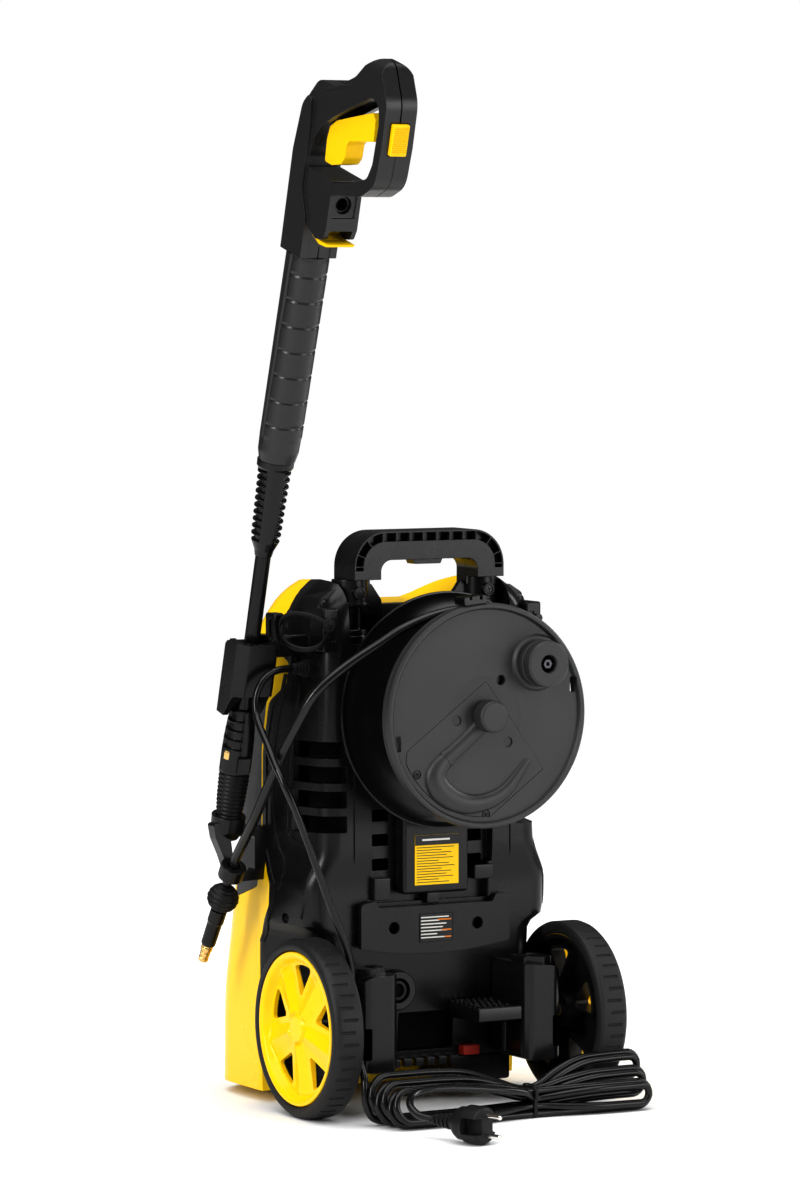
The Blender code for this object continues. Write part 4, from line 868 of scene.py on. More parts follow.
def build_body():
    front = keep_inside(body_volume("front"), seam_prism("volume", -0.0004, -1))
    front = cut(front, trough("cutter"), body_volume("cavity", *CAVITY))
    for sign in (1, -1):
        front = cut(front, layer(insert_volume("cutter", sign, 0.0006), 0.0030))
    front = cut(front, layer(panel_volume("cutter", 0.0005), 0.0024))
    dress(beveled(front, 0.0012, 2, 50), "front_cover_fine", YELLOW, "machine",
          ["front_cover"], 30)

    rear = keep_inside(body_volume("rear"), seam_prism("volume", 0.0004, 1))
    edge = keep_inside(body_volume("edge", -0.0014, 0.0, 0.05), seam_band("band", 0.0006, 0.0075))
    rear = unite(rear, keep_inside(edge, box("limit", (-0.2, -0.2, 0.09), (0.2, -0.0195, 0.531))))
    for points, width, proud in ((SIDE_RIDGE, 0.0042, 0.0018), (INNER_RIDGE, 0.0040, 0.0013)):
        band = prism("ribbon", "YZ", ribbon(points, width), -0.3, 0.3)
        rear = unite(rear, keep_inside(body_volume("ridge", -proud, 0.0, 0.17, 0.49), band))
    rear = cut(rear, trough("cutter"), body_volume("cavity", *CAVITY),
               beveled(box("top", (-0.094, NOTCH_Y, NOTCH_Z), (0.094, 0.10, 0.60)), 0.004, 3),
               box("underside", (-0.2, -0.2, 0.0), (0.2, 0.1, UNDERSIDE_Z)))
    for axis in ("X", "-X"):
        rear = cut(rear, cylinder("well", WHEEL_RADIUS + 0.006, WHEEL_INNER_X - 0.004, 0.2, axis,
                                  (0, 0, WHEEL_RADIUS), 96))
    recess = filleted([(-RECESS_HALF_WIDTH, RECESS_LOW_Z), (RECESS_HALF_WIDTH, RECESS_LOW_Z),
                       (RECESS_HALF_WIDTH, 0.330), (-RECESS_HALF_WIDTH, 0.330)], 0.004, 3)
    rear = cut(rear, prism("recess", "XZ", recess, RECESS_Y, 0.05),
               box("window", (-0.030, -0.048, 0.0545), (0.0345, 0.05, 0.0945), 0.002))
    cutters = []
    for sign in (1, -1):
        for z in (0.297, 0.272, 0.247):
            cutters.append(box("vent", (sign * 0.054 - 0.0095, -0.08, z - 0.006),
                               (sign * 0.054 + 0.0095, 0.0, z + 0.006), 0.0016))
        for z in (0.366, 0.341, 0.316, 0.291):
            cutters.append(beveled(prism("slot", "XY", slot_outline(sign), z - 0.0085, z + 0.0085), 0.0012))
        cutters.append(cylinder("channel", POST_RADIUS + 0.0022, 0.2, 0.6, center=(sign * POST_X, POST_Y, 0)))
        # thin vertical step on the column's face
        cutters.append(box("step", (sign * 0.0905 - 0.0008, COLUMN_Y - 0.0014, 0.214),
                           (sign * 0.0905 + 0.0008, 0.0, 0.468)))
        cutters.append(placed(cylinder("seat", 0.0052, -0.0042, 0.05),
                              aimed((sign * 0.1415, -0.0655, 0.194), (sign * 0.175, -0.045, 0.198))))
    rear = cut(rear, merged("cutters", cutters))
    dress(beveled(rear, 0.0011, 2, 42), "rear_housing_fine", BLACK, "machine",
          ["rear_housing"], 32)
    for name, sign in (("housing_screws", 1), ("housing_screws_right", -1)):
        screws(name, "machine", [(sign * 0.1425, -0.0660, 0.1945)], (sign * 0.86, 0.50, 0.10), 0.0040)

    # near-black matte sheet behind the cooling slots and the recess vents: painted shade in the openings
    shade_sheet = keep_inside(body_volume("shade_sheet", 0.0225, 0.020, 0.20, 0.40, 0.03),
                         box("limit", (-0.2, -0.085, 0.236), (0.2, 0.0, 0.385)))
    shade_sheet = cut(shade_sheet, box("middle", (-0.062, -0.060, 0.21), (0.062, 0.0, 0.40)),
                 cylinder("post", POST_RADIUS + 0.001, 0.2, 0.6, center=(POST_X, POST_Y, 0)),
                 cylinder("post", POST_RADIUS + 0.001, 0.2, 0.6, center=(-POST_X, POST_Y, 0)))
    dress(shade_sheet, "housing_painted_shade", PAINTED_SHADE, "machine")

    for name, sign in (("side_insert_left", 1), ("side_insert_right", -1)):
        insert = keep_inside(body_volume("insert", 0.0004), layer(insert_volume("volume", sign), 0.0028))
        dress(beveled(insert, 0.0008, 2, 50), name + "_fine", GREY, "machine", [name])
    panel = keep_inside(body_volume("panel", 0.0004), layer(panel_volume("volume"), 0.0022))
    dress(panel, "front_panel_fine", GREY, "machine", ["front_panel"])


def build_top_details():
    """Screwed lug with the strap's keyhole stud, and the arch beside each tube."""
    for name, sign in (("left", 1), ("right", -1)):
        lug = beveled(box("lug", (0.1085, -0.046, 0.4655), (0.1265, -0.0165, 0.5095)), 0.0022, 3)
        lug = cut(lug, beveled(box("panel", (0.1115, -0.0178, 0.4760), (0.1180, 0.0, 0.5000)), 0.0006))
        stud = rounded([(0, 0.0045), (0.0042, 0.0045), (0.0042, 0.0030), (0.0024, 0.0026), (0.0024, -0.002),
                        (0, -0.002)], 0.0005)
        lug = unite(lug, turned("stud", stud, "Y", (0.1215, -0.0165, 0.4930), 24))
        arch = filleted([(0.098, 0.474), (0.1215, 0.474), (0.1215, 0.508), (0.1165, 0.5185), (0.1030, 0.5270),
                         (0.0960, 0.5270)], [0.001, 0.001, 0.008, 0.008, 0.004, 0.003], 4)
        arch = beveled(prism("arch", "XZ", arch, -0.0770, -0.040), 0.0022, 3)
        arch = cut(arch, cylinder("tube", 0.0195, 0.46, 0.60, center=(POST_X, POST_Y, 0)))
        lug = unite(lug, arch)
        lug = cut(lug, cylinder("seat", 0.0052, -0.0412, 0.05, "Y", (0.1135, 0, 0.5130)))
        if sign < 0:
            lug = mirror(lug)
        dress(lug, "top_lug_" + name, BLACK, "machine")
        screws("top_screw_" + name, "machine", [(sign * 0.1135, -0.0402, 0.5130)], (0, 1, 0), 0.0038)


def build_switch():
    profile = rounded([(0, 0.016), (0.0190, 0.016), (0.0222, 0.0125), (0.0230, 0.0), (0, 0.0)], 0.0012)
    knob = turned("knob", profile, "-Y", (0.0, -0.2175, 0.300), 64)
    bar = box("bar", (-0.0055, -0.2440, 0.279), (0.0055, -0.2300, 0.321), 0.0018, 3)
    knob = cut(unite(knob, bar), box("mark", (-0.0008, -0.2450, 0.304), (0.0008, -0.2435, 0.319)))
    dress(knob, "power_switch_fine", YELLOW, "switch", ["power_switch"])


def stripes(name, rows, low, high, y, thickness, inset):
    """Generic print: short bars in rows, without any lettering."""
    pieces = []
    width, height = high[0] - low[0], high[1] - low[1]
    for index in range(rows):
        z = high[1] - height * (index + 0.5) / rows
        reach = (0.94, 0.62, 0.86, 0.74, 0.90, 0.55, 0.80)[index % 7]
        left = high[0] - inset
        pieces.append(box("bar", (left - (width - 2 * inset) * reach, y, z - thickness / 2),
                          (left, y + 0.00012, z + thickness / 2)))
    return merged(name, pieces)


def build_center():
    block = beveled(box("block", (-0.038, RECESS_Y + GAP, 0.217), (0.038, -0.010, 0.300)), 0.004, 3)
    for low, high in (((0.0040, 0.2885), (0.0280, 0.2965)), ((-0.0280, 0.2885), (-0.0040, 0.2965))):
        block = cut(block, beveled(box("frame", (low[0], -0.0125, low[1]), (high[0], 0.0, high[1])), 0.0008))
    dress(block, "motor_block_fine", BLACK, "machine", ["motor_block"])
    plate = beveled(box("plate", (-0.0255, -0.010 + GAP, 0.226), (0.0255, -0.0090, 0.277)), 0.0004)
    dress(plate, "rating_plate_fine", YELLOW, "machine", ["rating_plate"])
    band = box("band", (-0.0253, -0.00905, 0.2665), (0.0253, -0.00885, 0.2768))
    dress(band, "rating_band", GLOSS, "machine")
    bars = stripes("print", 14, (-0.0245, 0.2275), (0.0245, 0.2655), -0.00902, 0.0007, 0.0012)
    dress(bars, "rating_print", BLACK, "machine")
    bar = stripes("band_print", 1, (-0.017, 0.2700), (0.017, 0.2738), -0.00887, 0.0020, 0.0)
    dress(bar, "rating_band_print", WHITE, "machine")

    for name, (low, high) in {
            "recess_block_left": ((0.0505, -0.0310, 0.2120), (0.0695, -0.0140, 0.2350)),
            "recess_block_right": ((-0.0695, -0.0310, 0.2280), (-0.0470, -0.0140, 0.2430)),
            "recess_stub": ((-0.0070, -0.0310, 0.2060), (0.0080, -0.0150, 0.2180)),
            "recess_rib_right": ((-0.0700, -0.0310, 0.2090), (-0.0640, -0.0170, 0.2460))}.items():
        dress(box(name, low, high, 0.0016, 2), name, BLACK, "machine")

    top = [(0.0865, 0.2090), (0.0700, 0.2125), (0.0660, 0.2050), (-0.0660, 0.2050), (-0.0700, 0.2125),
           (-0.0865, 0.2125)]
    bottom = [(-0.0865 + 0.173 * i / 20, 0.1560 + 0.0085 * (2 * i / 20 - 1) ** 2) for i in range(21)]
    outline = filleted(top + bottom, [0.004, 0.003, 0.003, 0.003, 0.003, 0.004] + [0.0] * 21, 4)
    skirt = prism("skirt", "XZ", outline, COLUMN_Y + 0.0015, COLUMN_Y + 0.0075)
    for sign in (1, -1):
        skirt = cut(skirt, cylinder("hole", 0.0062, -0.1, 0.1, "Y", (sign * 0.0485, 0, 0.184), 40))
    skirt = cut(skirt, box("seat", (-0.0196, COLUMN_Y + 0.0072, 0.1674), (0.0196, 0.0, 0.1966)))
    dress(beveled(skirt, 0.0012, 3, 35), "skirt_plate_fine", BLACK, "machine", ["skirt_plate"])
    plate = box("plate", (-0.0190, COLUMN_Y + 0.0073, 0.168), (0.0190, COLUMN_Y + 0.0081, 0.196), 0.0003)
    dress(plate, "caution_plate_fine", GLOSS, "machine", ["caution_plate"])
    y = COLUMN_Y + 0.0081
    dress(stripes("print", 7, (-0.0165, 0.1705), (0.0180, 0.1945), y, 0.0013, 0.0), "caution_print", WHITE,
          "machine")
    marks = [box("mark", (-0.0172, y, z - 0.0007), (-0.0100 + 0.004 * (i % 3), y + 0.0002, z + 0.0007))
             for i, z in enumerate((0.1722, 0.1794, 0.1900))]
    dress(merged("marks", marks), "caution_marks", ORANGE, "machine")
    repaint("motor", STEEL_DARK)
    repaint("pump", STEEL)


def build_chassis():
    for name, sign in (("bracket_left", 1), ("bracket_right", -1)):
        plan = filleted([(0.072, CHASSIS_Y + 0.0005), (0.117, CHASSIS_Y + 0.0005), (0.117, 0.046),
                         (0.072, 0.046)], [0, 0.004, 0.0120, 0.0120], 10)
        face = filleted([(0.072, 0.047), (0.117, 0.047), (0.117, 0.142), (0.072, 0.146)],
                        [0.009, 0.012, 0.016, 0.006], 6)
        bracket = keep_inside(prism("bracket", "XY", plan, 0.047, 0.1465),
                              prism("face", "XZ", face, -0.04, 0.06))
        side = filleted([(-0.03, 0.03), (0.050, 0.03), (0.050, 0.1395), (0.040, 0.1500), (-0.03, 0.1500)],
                        [0, 0.0, 0.006, 0.004, 0], 4)
        bracket = keep_inside(bracket, prism("side", "YZ", side, 0.0, 0.2))
        socket = filleted([(0.0790, 0.001), (0.1130, 0.001), (0.1130, 0.028), (0.0990, 0.0385),
                           (0.0790, 0.030)], 0.005, 4)
        bracket = unite(bracket, beveled(prism("socket", "XY", socket, 0.130, 0.1510), 0.0012, 3, 60))
        bracket = cut(bracket, cylinder("bore", 0.0068, 0.110, 0.2, "Z", (0.094, 0.018, 0), 40))
        lobes = [cylinder("lobe", 0.0036, 0.120, 0.2, "Z",
                          (0.094 + 0.0062 * math.cos(a), 0.018 + 0.0062 * math.sin(a), 0), 24)
                 for a in (math.radians(90), math.radians(210), math.radians(330))]
        bracket = cut(bracket, *lobes)
        bracket = cut(bracket, box("slot", (0.1045, 0.022, 0.060), (0.2, 0.1, 0.092), 0.0015),
                      cylinder("axle_bore", 0.0058, 0.0755, 0.2, "X", (0, 0, WHEEL_RADIUS), 40),
                      box("undercut", (0.05, 0.0, 0.0505), (0.076, 0.036, 0.083), 0.002) if sign < 0 else
                      box("undercut", (0.05, -0.010, 0.0505), (0.0725, 0.036, 0.083), 0.002))
        if sign < 0:
            bracket = mirror(bracket)
        dress(beveled(bracket, 0.0012, 2, 45), name + "_fine", GLOSS, "machine", [name], 38)

    step = [(CHASSIS_Y + 0.0005, 0.0870), (0.0400, 0.0895), (0.0400, 0.1010), (0.0385, 0.1035),
            (0.0340, 0.1035), (0.0335, 0.1015), (CHASSIS_Y + 0.0005, 0.1050)]
    step = beveled(prism("step", "YZ", step, -0.0717, -0.0215), 0.0010, 2, 60)
    studs = []
    for row_index in range(6):
        for column in range(7):
            x = -0.0675 + 0.0068 * column + 0.0034 * (row_index % 2)
            y = -0.0165 + 0.0085 * row_index
            if x < -0.0245:
                stud = rounded([(0, 0.0016), (0.0016, 0.0016), (0.0020, -0.0015), (0, -0.0015)], 0.0005)
                studs.append(turned("stud", stud, "Z", (x, y, 0.1047 - 0.062 * (y + 0.0215)), 12))
    for index in range(5):
        y = -0.0120 + 0.0095 * index
        studs.append(box("tooth", (-0.0234, y, 0.1000), (-0.0216, y + 0.0050, 0.1074), 0.0006))
    dress(step, "foot_step_fine", BLACK, "machine", ["foot_step"])
    dress(merged("studs", studs), "foot_step_studs", BLACK, "machine")

    inlet = [(0.0120, 0.0045), (0.0128, 0.0060), (0.0190, 0.0060), (0.0200, 0.0052), (0.0205, 0.0040),
             (0.0205, 0.0003), (0.0120, 0.0003)]
    dress(turned("inlet", inlet, "Y", INLET, 64), "water_inlet_fine", GLOSS, "machine",
          ["water_inlet"])
    core = [(0.0065, 0.0030), (0.0072, 0.0042), (0.0098, 0.0042), (0.0106, 0.0030), (0.0118, 0.0006),
            (0.0065, 0.0006)]
    dress(turned("core", core, "Y", INLET, 48), "water_inlet_core", DARK_PLASTIC_AND_SHADE, "machine")
    # near-black disc at the bottom of the inlet's bore: painted shade in the hole
    hole = cylinder("core_shade_disc", 0.0064, 0.0002, 0.0008, "Y", INLET)
    dress(hole, "water_inlet_painted_shade", PAINTED_SHADE, "machine")

    # near-black sheet on the back wall of the chassis window: painted shade in the recess
    window_shade = box("window_shade", (-0.0297, -0.0476, 0.0548), (0.0342, -0.0440, 0.0942))
    dress(window_shade, "chassis_window_painted_shade", PAINTED_SHADE, "machine")
    base = box("base", (-0.0985, -0.105, 0.0180), (-0.0315, -0.030, 0.0463), 0.003, 2)
    dress(base, "base_block", BLACK, "machine")
    drain = box("red", (-0.0560, -0.0300, 0.0475), (-0.0370, -0.0190, 0.0570), 0.0008)
    dress(drain, "drain_plug", RED, "machine")
    teeth = []
    for index in range(8):
        x = 0.066 - 0.0135 * index
        teeth.append(box("tooth", (x - 0.0048, -0.0300, 0.0395), (x + 0.0048, CHASSIS_Y - 0.0006, 0.0475),
                         0.0008))
    dress(merged("teeth", teeth), "chassis_teeth", BLACK, "machine")
    for foot in ("front_foot_left", "front_foot_right"):
        repaint(foot, RUBBER)


# ---------------------------------------------------------------- handle
def handle_arch(half_width, top, radius, low):
    side = [(half_width, low)] + arc(half_width - radius, top - radius, radius, 0, 90, 14)
    return side + [(-x, z) for x, z in reversed(side)]


def handle_outline(low):
    return handle_arch(0.0865, 0.585, 0.036, low) + handle_arch(0.056, 0.556, 0.012, low)[::-1]


def build_handle():
    split = -0.048
    low = 0.528
    front = prism("front", "XZ", handle_outline(low), -0.068, split)
    front = beveled(front, 0.0045, 4, 35)
    for sign in (1, -1):
        collar = rounded([(0, 0.536), (0.0185, 0.536), (0.0185, 0.511), (0.0178, 0.508), (0, 0.508)], 0.001)
        foot = (sign * POST_X, POST_Y, 0)
        collar = turned("collar", collar, "Z", foot, 64)
        lip = rounded([(0, 0.5125), (0.0192, 0.5125), (0.0192, 0.5095), (0, 0.5095)], 0.0006)
        lip = turned("lip", lip, "Z", foot, 64)
        web = filleted([(0.064, 0.531), (0.052, 0.531), (0.040, 0.514), (0.040, 0.501), (0.064, 0.511)],
                       [0, 0.004, 0.004, 0.001, 0], 3)
        web = [(sign * x, z) for x, z in web][::sign]
        boss = turned("boss", rounded([(0, 0.022), (0.0066, 0.022), (0.0072, 0.0), (0, 0.0)], 0.0008), "Y",
                      (sign * POST_X, POST_Y, 0.5225), 40)
        front = unite(front, collar, lip, prism("web", "XZ", web, POST_Y - 0.0032, POST_Y + 0.0032), boss)
        front = cut(front, cylinder("seat", 0.0048, 0.0205, 0.05, "Y", (sign * POST_X, POST_Y, 0.5225)),
                    cylinder("eye", 0.0014, -0.1, 0.1, "Y", (sign * 0.0425, 0, 0.5045), 16))
    dress(front, "handle_front_fine", BLACK, "handle", ["handle_front"], 38)
    seats = [(sign * POST_X, POST_Y + 0.0212, 0.5225) for sign in (1, -1)]
    screws("handle_screws", "handle", seats, (0, 1, 0), 0.0044)

    rear = prism("rear", "XZ", handle_outline(0.5363), split + GAP, -0.024)
    rear = beveled(rear, 0.0040, 4, 35)
    channel = handle_arch(0.0847, 0.5832, 0.0342, 0.5455) + handle_arch(0.0762, 0.5747, 0.0257, 0.5455)[::-1]
    pocket = prism("pocket", "XZ", channel, -0.0345, 0.0)
    ribs = [box("rib", (x - 0.0005, -0.05, 0.570), (x + 0.0005, 0.01, 0.59))
            for x in (-0.0540 + 0.0154 * i for i in range(8))]
    for sign in (1, -1):
        for angle in (22.0, 52.0):
            rib = box("rib", (0.020, -0.05, -0.0005), (0.042, 0.01, 0.0005))
            turn = Matrix.Rotation(math.radians(-angle if sign > 0 else angle - 180), 4, "Y")
            ribs.append(placed(rib, Matrix.Translation((sign * 0.0505, 0, 0.549)) @ turn))
        ribs.append(box("rib", (sign * 0.080 - 0.008, -0.05, 0.5492), (sign * 0.080 + 0.008, 0.01, 0.5502)))
    pocket = cut(pocket, merged("ribs", ribs))
    rear = cut(rear, pocket)
    tab = filleted([(-0.018, 0.5575), (0.018, 0.5575), (0.0150, 0.5510), (-0.0150, 0.5510)], 0.0012, 3)
    rear = unite(rear, beveled(prism("tab", "XZ", tab, -0.044, -0.0285), 0.0008))
    dress(rear, "handle_rear_fine", BLACK, "handle", ["handle_rear"], 38)

    for side, sign in (("left", 1), ("right", -1)):
        post = cylinder("post", POST_RADIUS, 0.215, 0.5077, "Z", (sign * POST_X, POST_Y, 0), 64)
        flat = box("flat", (-0.0022, 0.0100, 0.40), (0.0022, 0.02, 0.500), 0.0006)
        post = cut(post, placed(flat, Matrix.Translation((sign * POST_X, POST_Y, 0))))
        dress(post, "handle_tube_" + side + "_fine", TUBE, "handle", ["handle_tube_" + side])
        ring = rounded([(0.0128, 0.0), (0.0166, 0.0), (0.0176, -0.0012), (0.0176, -0.0050), (0.0169, -0.0056),
                        (0.0169, -0.0066), (0.0176, -0.0072), (0.0176, -0.0135), (0.0128, -0.0135)], 0.0003)
        ring = turned("ring", ring, "Z", (sign * POST_X, POST_Y, 0.4858), 64)
        dress(ring, "sleeve_ring_" + side + "_fine", BLACK, "machine", ["sleeve_ring_" + side])


# ---------------------------------------------------------------- tool holder
def build_holder():
    outline = filleted([(-0.020, -0.0225), (0.016, -0.0225), (0.0235, -0.012), (0.0235, 0.014),
                        (0.014, 0.0235), (-0.020, 0.0235)], 0.005, 5)
    cup = prism("cup", "XY", outline, 0.116, 0.196)
    slant = prism("slant", "YZ", [(-0.006, 0.100), (0.050, 0.100), (0.050, 0.146), (0.016, 0.140)], -0.1, 0.1)
    rise = prism("rise", "YZ", [(-0.05, 0.187), (-0.05, 0.22), (0.012, 0.22), (-0.008, 0.187)], -0.1, 0.1)
    cup = placed(beveled(cut(cup, slant, rise), 0.0014, 3), GUN_FRAME)
    arm = box("arm", (0.110, -0.088, 0.4595), (0.172, -0.052, 0.482), 0.003, 3)
    buckle = box("buckle", (0.1535, -0.066, 0.466), (0.1665, -0.0490, 0.5045), 0.0022, 3)
    buckle = cut(buckle, box("slot", (0.1500, -0.0565, 0.4785), (0.1700, -0.0525, 0.4985), 0.0008))
    rib = box("rib", (0.1400, -0.0590, 0.4480), (0.1440, -0.0520, 0.4640), 0.001)
    cup = unite(cup, arm, buckle, rib)
    cup = cut(cup, placed(cylinder("bore", 0.0180, 0.0, 0.3, steps=64), GUN_FRAME), body_volume("skin", -GAP))
    dress(cup, "holder_cup_fine", BLACK, "machine", ["holder_cup"], 38)

    seat = rounded([(0, 0.0065), (0.0176, 0.0065), (0.0168, -0.0090), (0.0120, -0.0180), (0, -0.0180)],
                   0.0008)
    seat = placed(turned("seat", seat, steps=48), GUN_FRAME)
    leg = filleted([(0.170, 0.288), (0.2060, 0.290), (0.2030, 0.274), (0.1950, 0.256), (0.1900, 0.242),
                    (0.1940, 0.231), (0.178, 0.229), (0.150, 0.2300), (0.130, 0.2300), (0.130, 0.284),
                    (0.160, 0.284)], [0.002, 0.003, 0.012, 0.006, 0.003, 0.003, 0.006, 0.004, 0, 0, 0.004], 4)
    window = filleted([(0.1590, 0.2750), (0.1590, 0.2385), (0.1815, 0.2385), (0.1865, 0.2750)], 0.003, 4)
    bracket = beveled(prism("frame", "XZ", [leg, window], -0.1175, -0.1035), 0.0013, 3)
    eye = rounded([(0, 0.0075), (0.0128, 0.0075), (0.0132, -0.0075), (0, -0.0075)], 0.001)
    eye = placed(turned("eye", eye, steps=40), aimed(HOOK_EYE, HOSE_BALL))
    hook = unite(seat, bracket, eye)
    hook = cut(hook, placed(cylinder("bore", 0.0137, -0.0075, 0.2, steps=48), GUN_FRAME),
               placed(cylinder("bore", 0.0070, -0.05, 0.05), aimed(HOOK_EYE, HOSE_BALL)),
               body_volume("skin", -GAP))
    dress(hook, "holder_hook_fine", BLACK, "machine", ["holder_hook"], 38)

    # flat rubber strap: a loop round the buckle that ends in two eyelets on the lug's stud
    loop = [(0.1215, -0.0118, 0.4935), (0.1300, -0.0150, 0.4985), (0.1400, -0.0255, 0.5030),
            (0.1500, -0.0370, 0.5040), (0.1575, -0.0440, 0.4990), (0.1600, -0.0465, 0.4880),
            (0.1575, -0.0440, 0.4775), (0.1490, -0.0340, 0.4700), (0.1390, -0.0235, 0.4685),
            (0.1290, -0.0160, 0.4735), (0.1220, -0.0130, 0.4850)]
    path = smooth_route(loop, 0.002)
    wide = Vector((0.30, 0.50, 0.81)).normalized()
    width, thickness = 0.0034, 0.0010
    rings = []
    for before, here, after in zip([path[0]] + path, path, path[1:] + [path[-1]]):
        along = (after - before).normalized()
        across = (wide - along * wide.dot(along)).normalized()
        out = along.cross(across)
        rings.append([here + across * width * math.cos(a) + out * thickness * math.sin(a)
                      for a in (math.tau * i / 16 for i in range(16))])
    strap = loft("strap", rings)
    eyelet = rounded([(0.0036, 0.0012), (0.0072, 0.0012), (0.0072, -0.0012), (0.0036, -0.0012)], 0.0006)
    strap = unite(strap, turned("eyelet", eyelet, "Y", (0.1215, -0.0134, 0.4930), 32))
    dress(strap, "holder_strap_fine", RUBBER, "machine", ["holder_strap"], 50)


# ---------------------------------------------------------------- gun and lance
def gun_piece(piece, name, material, nodes=(), body="gun", sharp=34):
    return dress(placed(piece, GUN_FRAME), name, material, body, nodes, sharp)


def head_outline():
    """The gun's head seen from the side, in the gun's own frame."""
    return filleted([(-0.0120, 0.6003), (-0.0125, 0.700), (-0.005, 0.750), (0.018, 0.778), (0.052, 0.778),
                     (0.088, 0.797), (0.114, 0.8225), (0.131, 0.8225), (0.155, 0.788), (0.156, 0.745),
                     (0.153, 0.706), (0.128, 0.689), (0.070, 0.675), (0.032, 0.640), (0.030, 0.6003)],
                    [0.001, 0.03, 0.03, 0.02, 0.02, 0.03, 0.012, 0.014, 0.03, 0.02, 0.024, 0.03, 0.02,
                     0.012, 0.001], 6)


FINGER_GAP = [(0.0160, 0.668), (0.0165, 0.700), (0.0215, 0.7185), (0.034, 0.735), (0.058, 0.7505),
              (0.090, 0.768), (0.125, 0.786), (0.140, 0.783), (0.1450, 0.765), (0.1430, 0.725),
              (0.136, 0.709), (0.105, 0.6965), (0.060, 0.684), (0.030, 0.672)]
GAP_RADII = [0.004, 0.010, 0.012, 0.012, 0.02, 0.02, 0.008, 0.012, 0.02, 0.02, 0.012, 0.03, 0.03, 0.008]


